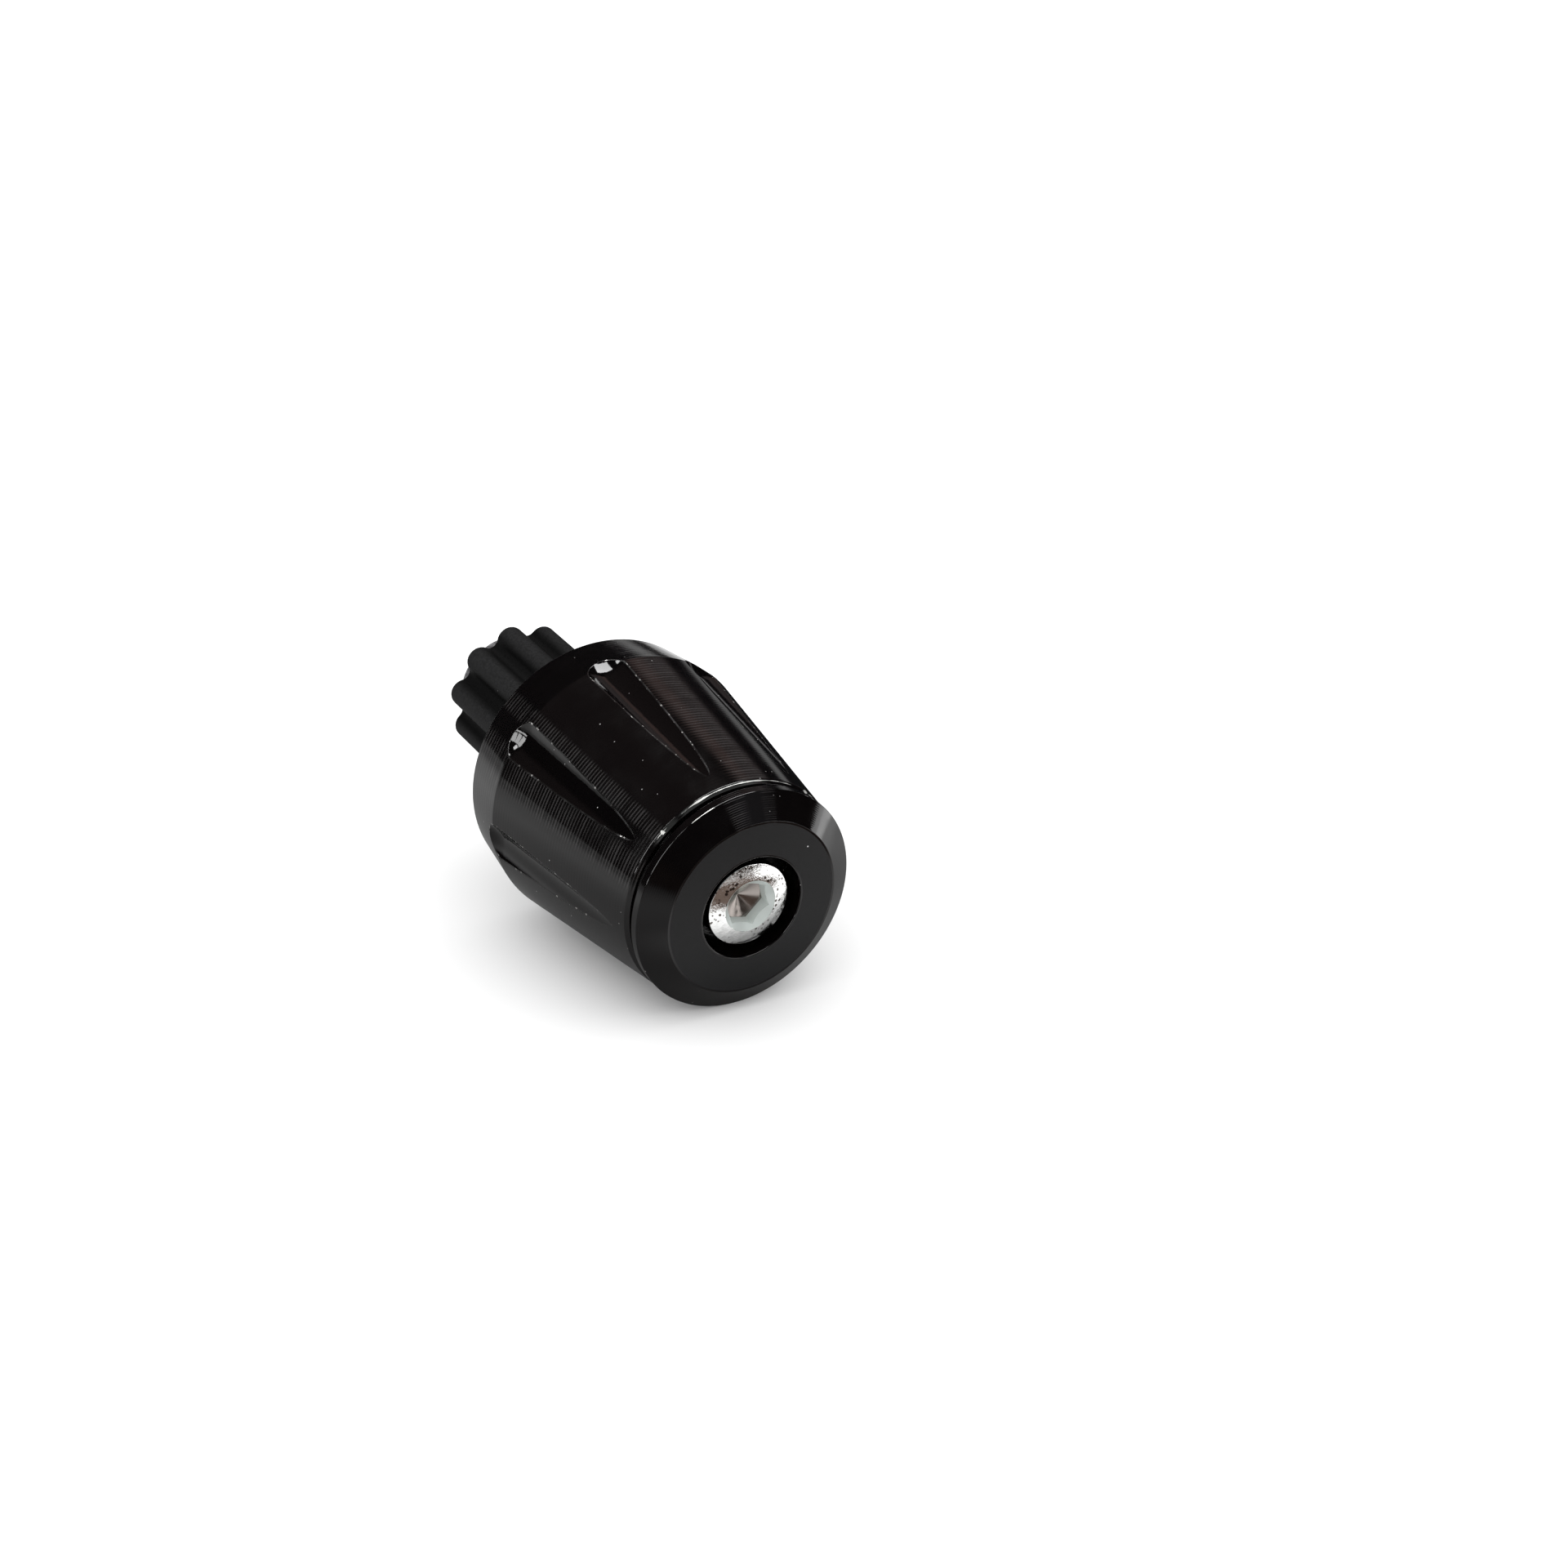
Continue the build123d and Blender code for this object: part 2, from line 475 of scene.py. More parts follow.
    def add_outside(self, mesh: SurfaceMesh, finishes: Sequence[Material]) -> None:
        """Adds the outer surface, sector by sector, each with its mirror image.

        Args:
            mesh: The weight's mesh.
            finishes: The materials of the lands, the flutes and the flutes' rims.
        """
        grids = self.sector()
        for flute in range(self.flutes):
            turn = np.array(Matrix.Rotation(-self.middle(flute), 3, "Y"))
            for side in (1.0, -1.0):
                place = turn @ np.diag([1.0, 1.0, side])
                for (points, normals), finish in zip(grids, finishes):
                    mesh.add((points @ place.T, normals @ place.T), finish)

    def build(self, gloss: Material, milled: Material, rim: Material) -> None:
        """Makes the weight.

        Args:
            gloss: For the turned surfaces.
            milled: For the flutes.
            rim: For the rounded edges of the flutes.
        """
        mesh = SurfaceMesh(self.name)
        self.add_outside(mesh, (gloss, milled, rim))
        nose = [
            Corner(self.spigot_bore_radius, self.front),
            Corner(self.front_radius - self.front_chamfer, self.front, self.edge),
            Corner(self.front_radius, self.taper_start, self.edge),
            Corner(self.outer_radius(self.first_row), self.first_row),
        ]
        tail = [
            Corner(self.outer_radius(self.last_row), self.last_row),
            Corner(self.shoulder_radius, 0.0, self.edge),
            Corner(self.seat_radius, 0.0, self.edge),
            Corner(self.seat_radius, self.seat),
            Corner(SCREW_HOLE_RADIUS, self.seat),
            Corner(SCREW_HOLE_RADIUS, self.spigot_bore_end),
            Corner(self.spigot_bore_radius, self.spigot_bore_end),
            Corner(self.spigot_bore_radius, self.front),
        ]
        for outline in (nose, tail):
            mesh.add(turned(rounded_outline(outline), self.turned_columns()), gloss, closed=True)
        self.settle(mesh.build())


@dataclass
class BevelledCap(SubAssembly):
    """The end cap: matt face, glossy bevel and rim, neck, spigot and counterbore."""

    name: str = "bevelled_cap"
    node: str = "end_cap"
    body: Body = Body.WEIGHT
    slot: str = "cap_anodised"
    front: float = ends("end_cap")[0]
    face_radius: float = 11.05
    rim_radius: float = CAP_RIM.radius
    rim_start: float = CAP_RIM.station
    rim_end: float = -34.85
    neck_radius: float = 12.15
    neck_end: float = BODY_FRONT
    spigot_radius: float = 10.0
    spigot_end: float = ends("end_cap")[1]
    counterbore_radius: float = 6.5
    edge: float = 0.12
    columns: int = 192

    def build(self, gloss: Material, satin: Material) -> None:
        """Makes the cap.

        Args:
            gloss: For the turned surfaces.
            satin: For the flat face.
        """
        mesh = SurfaceMesh(self.name)
        face_start = Corner(self.counterbore_radius + 2 * self.edge, self.front)
        face_stop = Corner(self.face_radius - 2 * self.edge, self.front)
        rest = [
            face_stop,
            Corner(self.face_radius, self.front, self.edge),
            Corner(self.rim_radius, self.rim_start, self.edge),
            Corner(self.rim_radius, self.rim_end, self.edge),
            Corner(self.neck_radius, self.rim_end),
            Corner(self.neck_radius, self.neck_end),
            Corner(self.spigot_radius, self.neck_end),
            Corner(self.spigot_radius, self.spigot_end),
            Corner(SCREW_HOLE_RADIUS, self.spigot_end),
            Corner(SCREW_HOLE_RADIUS, HEAD_SEAT),
            Corner(self.counterbore_radius, HEAD_SEAT),
            Corner(self.counterbore_radius, self.front, self.edge),
            face_start,
        ]
        columns = ring(self.columns)
        mesh.add(turned(rounded_outline(rest), columns), gloss, closed=True)
        mesh.add(turned(rounded_outline([face_start, face_stop]), columns), satin, closed=True)
        self.settle(mesh.build())


@dataclass
class SocketScrew(SubAssembly):
    """The clamp screw: domed head, hexagon socket with a round mouth, plain shank and a real thread."""

    name: str = "socket_screw"
    node: str = "clamp_screw"
    body: Body = Body.SCREW
    slot: str = "screw_chrome"
    crown: float = -37.9
    dome_height: float = 0.8
    head_radius: float = 5.25
    shank_radius: float = 3.0
    end: float = ends("clamp_screw")[1]
    point_chamfer: float = 0.8
    flats: int = 6
    flat_radius: float = 2.5
    socket_depth: float = 2.4
    socket_point: float = 0.9
    mouth_radius: float = 3.3
    corner_angle: float = 45.0
    thread_start: float = 16.0
    thread_depth: float = 0.55
    thread_flat: float = 0.125
    run_out_turns: float = 2.0
    pitch: float = 1.0
    edge: float = 0.15
    edge_steps: int = 5
    flat_columns: int = 24
    dome_rows: int = 13
    rows_per_turn: int = 14

    def __post_init__(self) -> None:
        """Works out the dome and where the socket's mouth meets it."""
        self.dome_radius = (self.head_radius**2 + self.dome_height**2) / (2 * self.dome_height)
        self.dome_centre = self.crown + self.dome_radius
        self.mouth = self.dome_centre - sqrt(self.dome_radius**2 - self.mouth_radius**2)
        self.floor = self.crown + self.socket_depth
        self.half_flat = pi / self.flats
        self.columns = ring(self.flats * self.flat_columns, radians(self.corner_angle))

    def dome(self) -> Grid:
        """The dome's outline, from the socket's mouth to the start of the head's rounded edge.

        Returns:
            Points and normals, as rows of (radius, station).
        """
        last = asin((self.head_radius - self.edge) / self.dome_radius)
        tilt = np.linspace(asin(self.mouth_radius / self.dome_radius), last, self.dome_rows)
        normals = np.column_stack([np.sin(tilt), -np.cos(tilt)])
        return np.array([0.0, self.dome_centre]) + self.dome_radius * normals, normals

    def shaft(self, start: np.ndarray) -> Grid:
        """The outline from the dome's edge, round the head and along the shank to the thread.

        Args:
            start: The dome's last point.

        Returns:
            Points and normals, as rows of (radius, station).
        """
        corners = [
            Corner(*start),
            Corner(self.head_radius, self.crown + self.dome_height, self.edge),
            Corner(self.head_radius, HEAD_SEAT, self.edge),
            Corner(self.shank_radius, HEAD_SEAT),
            Corner(self.shank_radius, self.thread_start),
        ]
        return rounded_outline(corners, self.edge_steps)

    def add_socket(self, mesh: SurfaceMesh, chrome: Material) -> None:
        """Adds the socket's mouth, flats, floor and drill point, flat by flat.

        Args:
            mesh: The screw's mesh.
            chrome: The material of its faces.
        """
        half = np.linspace(-self.half_flat, self.half_flat, self.flat_columns + 1)
        reach = (self.flat_radius / np.cos(half))[:, None]
        axis = np.array([0.0, 1.0, 0.0])
        for flat in range(self.flats):
            middle = radians(self.corner_angle) + self.half_flat * (1 + 2 * flat)
            angles = middle + half
            out = np.column_stack([np.cos(angles), np.zeros_like(angles), np.sin(angles)])
            inwards = -np.array([cos(middle), 0.0, sin(middle)])
            mouth = self.mouth_radius * out + self.mouth * axis
            lip = reach * out + (self.mouth + self.mouth_radius - reach) * axis
            foot = reach * out + self.floor * axis
            drill = self.flat_radius * out + self.floor * axis
            point = np.broadcast_to((self.floor + self.socket_point) * axis, foot.shape)
            strips = (
                (mouth, lip, -out - axis),
                (lip, foot, np.tile(inwards, (len(half), 1))),
                (foot, drill, np.tile(-axis, (len(half), 1))),
                (drill, point, -self.socket_point * out - self.flat_radius * axis),
            )
            for near, far, normal in strips:
                mesh.add((np.array([near, far]), np.array([normal, normal])), chrome)

    def thread(self) -> Grid:
        """The helical thread, which fades in from the shank, and the chamfered point.

        Returns:
            Points and normals, as rows by columns by three.
        """
        rows = round((self.end - self.thread_start) / self.pitch * self.rows_per_turn) + 1
        station = np.linspace(self.thread_start, self.end, rows)[:, None]
        angle = np.append(self.columns, self.columns[0] + 2 * pi)[None, ::2]
        turns = (station - self.thread_start) / self.pitch
        flank = np.abs(((turns - angle / (2 * pi)) % 1.0) * 2 - 1)
        groove = np.clip((1 + 2 * self.thread_flat) * flank - self.thread_flat, 0, 1)
        radius = self.shank_radius - self.thread_depth * np.clip(turns / self.run_out_turns, 0, 1) * groove
        radius = np.minimum(radius, self.shank_radius - self.point_chamfer + (self.end - station))
        along = np.broadcast_to(station, radius.shape)
        points = np.stack([radius * np.cos(angle), along, radius * np.sin(angle)], axis=-1)
        normals = np.cross(np.gradient(points, axis=1), np.gradient(points, axis=0))
        outwards = (normals * points * [1, 0, 1]).sum(axis=-1, keepdims=True)
        return points, normals * np.sign(outwards)

    def build(self, chrome: Material) -> None:
        """Makes the screw.

        Args:
            chrome: Its one finish.
        """
        mesh = SurfaceMesh(self.name)
        dome = self.dome()
        mesh.add(turned(dome, self.columns), chrome, closed=True)
        mesh.add(turned(self.shaft(dome[0][-1]), self.columns), chrome, closed=True)
        self.add_socket(mesh, chrome)
        thread = self.thread()
        mesh.add(thread, chrome)
        tip = thread[0][-1]
        middle = np.broadcast_to([0.0, self.end, 0.0], tip.shape)
        facing = np.broadcast_to([0.0, 1.0, 0.0], tip.shape)
        mesh.add((np.array([tip, middle]), np.array([facing, facing])), chrome)
        self.settle(mesh.build())


@dataclass
class LobedPlug(SubAssembly):
    """The rubber expander plug: ten round lobes, a rounded free end and a coned mouth for the nut."""

    name: str = "lobed_plug"
    node: str = "expander_plug"
    body: Body = Body.WEIGHT
    slot: str = "plug_rubber"
    start: float = PLUG_START
    reach: float = PLUG_END
    crest_radius: float = 9.4
    valley_radius: float = 7.75
    lobes: int = 10
    lobe_tip: float = 1.8
    lobe_angle: float = -10.3
    rounding: float = 0.7
    mouth_radius: float = 5.6
    throat_radius: float = 4.37
    throat: float = 13.3
    nut_travel: float = travel("nut_draw")
    arc_columns: int = 12
    side_rows: int = 12
    rounding_rows: int = 7

    def outline(self) -> Grid:
        """The lobed section: tangent arcs round the crests and valleys.

        Returns:
            Points and normals, as rows of (x, z).
        """
        half = pi / self.lobes
        crest_ring = self.crest_radius - self.lobe_tip
        lean = crest_ring * cos(half) + self.lobe_tip - self.valley_radius
        valley_ring = (crest_ring**2 - (self.valley_radius - self.lobe_tip) ** 2) / (2 * lean)
        sweep = atan2(valley_ring * sin(half), valley_ring * cos(half) - crest_ring)
        crest_arc = np.linspace(-sweep, sweep, self.arc_columns + 1)
        valley_arc = np.linspace(sweep - half, half - sweep, self.arc_columns + 1)[1:-1]
        points, normals = [], []
        for lobe in range(self.lobes):
            crest = radians(self.lobe_angle) + 2 * half * lobe
            arcs = (
                (crest, crest_ring, self.lobe_tip, crest_arc),
                (crest + half, valley_ring, self.valley_radius - valley_ring, valley_arc),
            )
            for middle, distance, radius, arc in arcs:
                centre = distance * np.array([cos(middle), sin(middle)])
                facing = np.column_stack([np.cos(middle + arc), np.sin(middle + arc)])
                points.append(centre + radius * facing)
                normals.append(facing)
        return np.concatenate(points), np.concatenate(normals)

    def side(self) -> Grid:
        """The lobed side and its rounded free end.

        Returns:
            Points and normals, as rows by columns by three.
        """
        points, normals = self.outline()
        straight = np.linspace(self.start, self.reach - self.rounding, self.side_rows)
        rows = [(station, 0.0, 0.0) for station in straight]
        for lean in np.linspace(0, pi / 2, self.rounding_rows)[1:]:
            station = self.reach - self.rounding * (1 - sin(lean))
            rows.append((station, self.rounding * (1 - cos(lean)), lean))
        places, facing = [], []
        for station, inset, lean in rows:
            flat = points - inset * normals
            tilt = cos(lean) * normals
            places.append(np.column_stack([flat[:, 0], np.full(len(flat), station), flat[:, 1]]))
            facing.append(np.column_stack([tilt[:, 0], np.full(len(flat), sin(lean)), tilt[:, 1]]))
        return np.array(places), np.array(facing)

    def build(self, rubber: Material) -> None:
        """Makes the plug.

        Args:
            rubber: Its one finish.
        """
        mesh = SurfaceMesh(self.name)
        side = self.side()
        mesh.add(side, rubber, closed=True)
        angles = np.arctan2(side[0][0][:, 2], side[0][0][:, 0])
        corners = [
            Corner(self.mouth_radius, self.reach),
            Corner(self.throat_radius, self.throat),
            Corner(SCREW_HOLE_RADIUS, self.throat),
            Corner(SCREW_HOLE_RADIUS, self.start),
        ]
        bore = turned(rounded_outline(corners), angles)
        mesh.add(bore, rubber, closed=True)
        for edge, rim, facing in ((side[0][-1], bore[0][0], 1.0), (side[0][0], bore[0][-1], -1.0)):
            normals = np.broadcast_to([0.0, facing, 0.0], edge.shape)
            mesh.add((np.array([edge, rim]), np.array([normals, normals])), rubber, closed=True)
        piece = mesh.build()
        self.settle(piece)
        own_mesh(piece)


@dataclass
class ConeNut(SubAssembly):
    """The expander nut: a flange against the plug's end and a cone in its mouth."""

    name: str = "cone_nut"
    node: str = "expander_nut"
    body: Body = Body.NUT
    slot: str = "nut_zinc"
    nose: float = ends("expander_nut")[0]
    nose_radius: float = 4.3
    cone_radius: float = 5.5
    flange: float = PLUG_END
    flange_radius: float = 6.6
    end: float = ends("expander_nut")[1]
    chamfer: float = 0.5
    thread_radius: float = 3.05
    thread_chamfer: float = 0.6
    edge: float = 0.08
    columns: int = 128

    def build(self, zinc: Material) -> None:
        """Makes the nut.

        Args:
            zinc: Its one finish.
        """
        outline = [
            Corner(self.thread_radius, self.nose),
            Corner(self.nose_radius, self.nose, self.edge),
            Corner(self.cone_radius, self.flange),
            Corner(self.flange_radius, self.flange, self.edge),
            Corner(self.flange_radius, self.end - self.chamfer, self.edge),
            Corner(self.flange_radius - self.chamfer, self.end, self.edge),
            Corner(self.thread_radius + self.thread_chamfer, self.end, self.edge),
            Corner(self.thread_radius, self.end - self.thread_chamfer),
            Corner(self.thread_radius, self.nose),
        ]
        mesh = SurfaceMesh(self.name)
        mesh.add(turned(rounded_outline(outline), ring(self.columns)), zinc, closed=True)
        self.settle(mesh.build())


@dataclass(frozen=True)
class Noise:
    """A cloudy pattern: how close its waves are, and how many finer layers it has."""

    scale: float
    detail: float


@dataclass(frozen=True)
class Specks:
    """Scattered grains: the size of a cell and of a grain, and the share of the cells that hold one."""

    cell: float
    size: float
    share: float


@dataclass(frozen=True)
class Fade:
    """A smooth change from a first to a last value, over a stretch from start to stop."""

    start: float
    stop: float
    first: float = 0.0
    last: float = 1.0


def scaled(colour: Colour, share: float) -> Colour:
    """A colour made lighter or darker."""
    return tuple(part * share for part in colour)


class Graph:
    """Short forms for adding nodes to one tree and joining them."""

    def __init__(self, tree: NodeTree) -> None:
        """Works on that tree."""
        self.tree = tree

    def feed(self, socket: Signal, value: Feed) -> None:
        """Links an output to a socket, or sets the socket's own value.

        Args:
            socket: The input that is fed.
            value: An output, a number, or the three numbers of a place or colour.
        """
        if isinstance(value, Signal):
            self.tree.links.new(value, socket)
        elif socket.type == "RGBA":
            socket.default_value = (*value, 1.0)
        else:
            socket.default_value = value

    def node(
        self, kind: str, inputs: dict[str | int, Feed] | None = None, **settings: object
    ) -> bpy.types.Node:
        """Adds a node.

        Args:
            kind: Its type, without the ShaderNode at the front.
            inputs: What goes into its sockets, by name or place.
            settings: Its properties.

        Returns:
            The node.
        """
        node = self.tree.nodes.new("ShaderNode" + kind)
        for name, setting in settings.items():
            setattr(node, name, setting)
        for name, value in (inputs or {}).items():
            self.feed(node.inputs[name], value)
        return node

    def math(self, operation: str, *values: Feed) -> Signal:
        """The result of a Math node on those values."""
        return self.node("Math", dict(enumerate(values)), operation=operation).outputs[0]

    def ramp(self, value: Feed, low: Feed, high: Feed, first: Feed = 0.0, last: Feed = 1.0) -> Signal:
        """Maps low to high smoothly onto first to last."""
        stretch = {"Value": value, "From Min": low, "From Max": high, "To Min": first, "To Max": last}
        return self.node("MapRange", stretch, interpolation_type="SMOOTHSTEP").outputs[0]

    def fade(self, value: Feed, fade: Fade) -> Signal:
        """Follows a fade as the value goes from its start to its stop."""
        return self.ramp(value, fade.start, fade.stop, fade.first, fade.last)

    def within(self, off: Feed, half: float, soft: float) -> Signal:
        """A mask that is 1 where an offset is under half and 0 beyond, with soft sides."""
        return self.ramp(off, half - soft, half + soft, 1.0, 0.0)

    def blend(self, share: Feed, start: Feed, end: Feed) -> Signal:
        """Mixes two colours. A Mix node has them at places 6 and 7, and their mix at 2."""
        return self.node("Mix", {0: share, 6: start, 7: end}, data_type="RGBA").outputs[2]

    def group(self, tree: NodeTree, inputs: dict[str, Feed]) -> bpy.types.NodeOutputs:
        """Uses a node group and returns its outputs."""
        return self.node("Group", inputs, node_tree=tree).outputs

    def noise(self, pattern: Noise) -> Signal:
        """A cloudy pattern over the piece, from 0 to 1."""
        inputs = {"Vector": self.place, "Scale": pattern.scale, "Detail": pattern.detail}
        return self.node("TexNoise", inputs).outputs[0]

    @cached_property
    def place(self) -> Signal:
        """The place on the piece."""
        metres = self.node("TexCoord").outputs["Object"]
        return self.node("VectorMath", {0: metres, "Scale": 1 / MM}, operation="SCALE").outputs[0]

    @cached_property
    def axes(self) -> bpy.types.NodeOutputs:
        """The place's X, Y and Z."""
        return self.node("SeparateXYZ", {"Vector": self.place}).outputs

    @cached_property
    def radius(self) -> Signal:
        """The distance from the bar's axis."""
        squares = [self.math("POWER", self.axes[axis], 2.0) for axis in "XZ"]
        return self.math("SQRT", self.math("ADD", *squares))

    @property
    def station(self) -> Signal:
        """The place along the bar's axis."""
        return self.axes["Y"]


class EffectGraph(Graph):
    """A node group of number sockets."""

    def __init__(self, name: str, inputs: dict[str, float], outputs: Sequence[str]) -> None:
        """Starts the group.

        Args:
            name: The group's name.
            inputs: Its inputs and their usual values.
            outputs: Its outputs' names.
        """
        super().__init__(bpy.data.node_groups.new(name, "ShaderNodeTree"))
        sockets = self.tree.interface
        for label, value in inputs.items():
            socket = sockets.new_socket(label, in_out="INPUT", socket_type="NodeSocketFloat")
            socket.default_value = value
        for label in outputs:
            sockets.new_socket(label, in_out="OUTPUT", socket_type="NodeSocketFloat")
        self.given = self.tree.nodes.new("NodeGroupInput").outputs
        self.results = self.tree.nodes.new("NodeGroupOutput").inputs


@dataclass(frozen=True)
class TurnedLines:
    """Fine rings that a lathe tool leaves, uneven from place to place."""

    pitch: float = 0.3
    wave_height: float = 0.5
    stray: Noise = Noise(0.7, 3.0)
    stray_height: float = 0.6
    stray_glint: float = 3.0
    patches: Noise = Noise(0.23, 2.0)
    patch_height: Fade = Fade(0.35, 0.65, 0.25, 1.25)
    patch_glint: Fade = Fade(0.3, 0.55, 0.35, 1.0)

    def group(self) -> NodeTree:
        """Builds the group.

        Returns:
            A group that puts out the rings' Height, and the mask of their crests, which carries painted
            glints.
        """
        graph = EffectGraph("turned_lines", {"Pitch": self.pitch}, ["Height", "Glint"])
        along = graph.math("DIVIDE", graph.math("ADD", graph.radius, graph.station), graph.given["Pitch"])
        wave = graph.math("SINE", graph.math("MULTIPLY", along, 2 * pi))
        inputs = {"W": along, "Scale": self.stray.scale, "Detail": self.stray.detail}
        stray = graph.node("TexNoise", inputs, noise_dimensions="1D").outputs[0]
        patch = graph.noise(self.patches)
        height = graph.math("MULTIPLY", wave, self.wave_height)
        height = graph.math("ADD", height, graph.math("MULTIPLY", stray, self.stray_height))
        height = graph.math("MULTIPLY", height, graph.fade(patch, self.patch_height))
        graph.feed(graph.results["Height"], height)
        # Painted glint: the crests that are painted as catching light, in patches.
        moved = graph.math("MULTIPLY", graph.math("SUBTRACT", stray, NOISE_MIDDLE), self.stray_glint)
        crest = graph.ramp(graph.math("ADD", wave, moved), 0.0, 1.0)
        painted_glints = graph.math("MULTIPLY", crest, graph.fade(patch, self.patch_glint))
        graph.feed(graph.results["Glint"], painted_glints)
        return graph.tree


@dataclass(frozen=True)
class ScatteredSpecks:
    """Grains or pits in some of the cells of a random pattern, of uneven size."""

    usual: Specks = Specks(3.0, 0.12, 0.2)
    smallest: float = 0.35

    def group(self) -> NodeTree:
        """Builds the group.

        Returns:
            A group that puts out the grains' Mask.
        """
        inputs = {"Cell": self.usual.cell, "Size": self.usual.size, "Share": self.usual.share}
        graph = EffectGraph("specks", inputs, ["Mask"])
        scale = graph.math("DIVIDE", 1.0, graph.given["Cell"])
        cells = graph.node("TexVoronoi", {"Vector": graph.place, "Scale": scale}).outputs
        pick = graph.node("SeparateColor", {"Color": cells["Color"]}).outputs
        off = graph.math("MULTIPLY", cells["Distance"], graph.given["Cell"])
        size = graph.math("MULTIPLY", graph.given["Size"], graph.math("ADD", pick["Green"], self.smallest))
        inside = graph.math("LESS_THAN", off, size)
        held = graph.math("LESS_THAN", pick["Red"], graph.given["Share"])
        graph.feed(graph.results["Mask"], graph.math("MULTIPLY", inside, held))
        return graph.tree


@dataclass(frozen=True)
class EdgeNicks:
    """Short chips along a turned edge."""

    edge: Corner = Corner(14.0, -33.5)
    width: float = 0.5
    share: float = 0.35
    chips: Noise = Noise(0.3, 4.0)
    deepest: float = 4.0

    def group(self) -> NodeTree:
        """Builds the group.

        Returns:
            A group that puts out the chips' Mask, for an edge at Radius and Station.
        """
        usual = {"Radius": self.edge.radius, "Station": self.edge.station}
        graph = EffectGraph("edge_nicks", {**usual, "Width": self.width, "Share": self.share}, ["Mask"])
        squares = []
        for here, label in ((graph.radius, "Radius"), (graph.station, "Station")):
            squares.append(graph.math("POWER", graph.math("SUBTRACT", here, graph.given[label]), 2.0))
        off = graph.math("SQRT", graph.math("ADD", *squares))
        whole = graph.math("SUBTRACT", 1.0, graph.given["Share"])
        reach = graph.math("SUBTRACT", graph.noise(self.chips), whole)
        reach = graph.math("MULTIPLY", graph.math("MULTIPLY", reach, graph.given["Width"]), self.deepest)
        graph.feed(graph.results["Mask"], graph.math("LESS_THAN", off, reach))
        return graph.tree


@dataclass(frozen=True)
class AngleBand:
    """A strip along the bar's axis, with soft sides. Its angles run from +X towards +Z."""

    middle: float = 90.0
    half: float = 8.0
    full_share: float = 0.5

    def group(self) -> NodeTree:
        """Builds the group.

        Returns:
            A group that puts out the strip's Mask, for a strip round the angle Middle.
        """
        graph = EffectGraph("angle_band", {"Middle": self.middle, "Half": self.half}, ["Mask"])
        angle = graph.math("DEGREES", graph.math("ARCTAN2", graph.axes["Z"], graph.axes["X"]))
        off = graph.math("PINGPONG", graph.math("SUBTRACT", angle, graph.given["Middle"]), HALF_TURN)
        full = graph.math("MULTIPLY", graph.given["Half"], self.full_share)
        graph.feed(graph.results["Mask"], graph.ramp(off, full, graph.given["Half"], 1.0, 0.0))
        return graph.tree


@dataclass(frozen=True)
class SharedEffects:
    """The node groups that more than one finish uses."""

    lines: NodeTree
    specks: NodeTree
    nicks: NodeTree
    bands: NodeTree

    @classmethod
    def build(cls) -> "SharedEffects":
        """Builds each group once."""
        return cls(TurnedLines().group(), ScatteredSpecks().group(), EdgeNicks().group(), AngleBand().group())


class Surface(Graph):
    """A material's graph, with its Principled shader and the shared effects at hand."""

    def __init__(self, name: str, effects: SharedEffects | None = None) -> None:
        """Starts the material.

        Args:
            name: The material's name.
            effects: The groups that it may use.
        """
        self.material = bpy.data.materials.new(name)
        self.material.use_nodes = True
        super().__init__(self.material.node_tree)
        self.shader = self.tree.nodes["Principled BSDF"]
        self.effects = effects

    def dress(self, inputs: dict[str, Feed]) -> Material:
        """Feeds the shader.

        Args:
            inputs: Values and outputs, by the names of the shader's sockets.

        Returns:
            The material.
        """
        for label, value in inputs.items():
            self.feed(self.shader.inputs[label], value)
        return self.material

    def lines(self, pitch: float) -> bpy.types.NodeOutputs:
        """The Height and the Hatch of lathe rings of that pitch."""
        return self.group(self.effects.lines, {"Pitch": pitch})

    def specks(self, grains: Specks) -> Signal:
        """The mask of scattered grains."""
        inputs = {"Cell": grains.cell, "Size": grains.size, "Share": grains.share}
        return self.group(self.effects.specks, inputs)["Mask"]

    def nicks(self, edge: Corner, width: float, share: Feed) -> Signal:
        """The mask of the chips along a turned edge."""
        inputs = {"Radius": edge.radius, "Station": edge.station, "Width": width, "Share": share}
        return self.group(self.effects.nicks, inputs)["Mask"]

    def band(self, start: float, stop: float) -> Signal:
        """The mask of a strip along the bar's axis, between two angles in degrees."""
        inputs = {"Middle": (start + stop) / 2, "Half": (stop - start) / 2}
        return self.group(self.effects.bands, inputs)["Mask"]

    def vary(self, pattern: Signal, usual: float, shares: Span) -> Signal:
        """Spreads a usual value, by a cloudy pattern, from one share of it to another."""
        return self.ramp(pattern, *NOISE_SPREAD, usual * shares[0], usual * shares[1])

    def bump(self, height: Signal, depth: float) -> Signal:
        """The normals of a fine relief."""
        return self.node("Bump", {"Strength": 1.0, "Distance": depth * MM, "Height": height}).outputs[0]


class Finish(ABC):
    """What all finishes have: a name, and what goes into their material's shader."""

    name: str

    @abstractmethod
    def inputs(self, surface: Surface) -> dict[str, Feed]:
        """Says what goes into the shader.

        Args:
            surface: The material's graph.

        Returns:
            Values and outputs, by the names of the shader's sockets.
        """

    def material(self, effects: SharedEffects) -> Material:
        """Makes the material from the shared effects."""
        surface = Surface(self.name, effects)
        return surface.dress(self.inputs(surface))


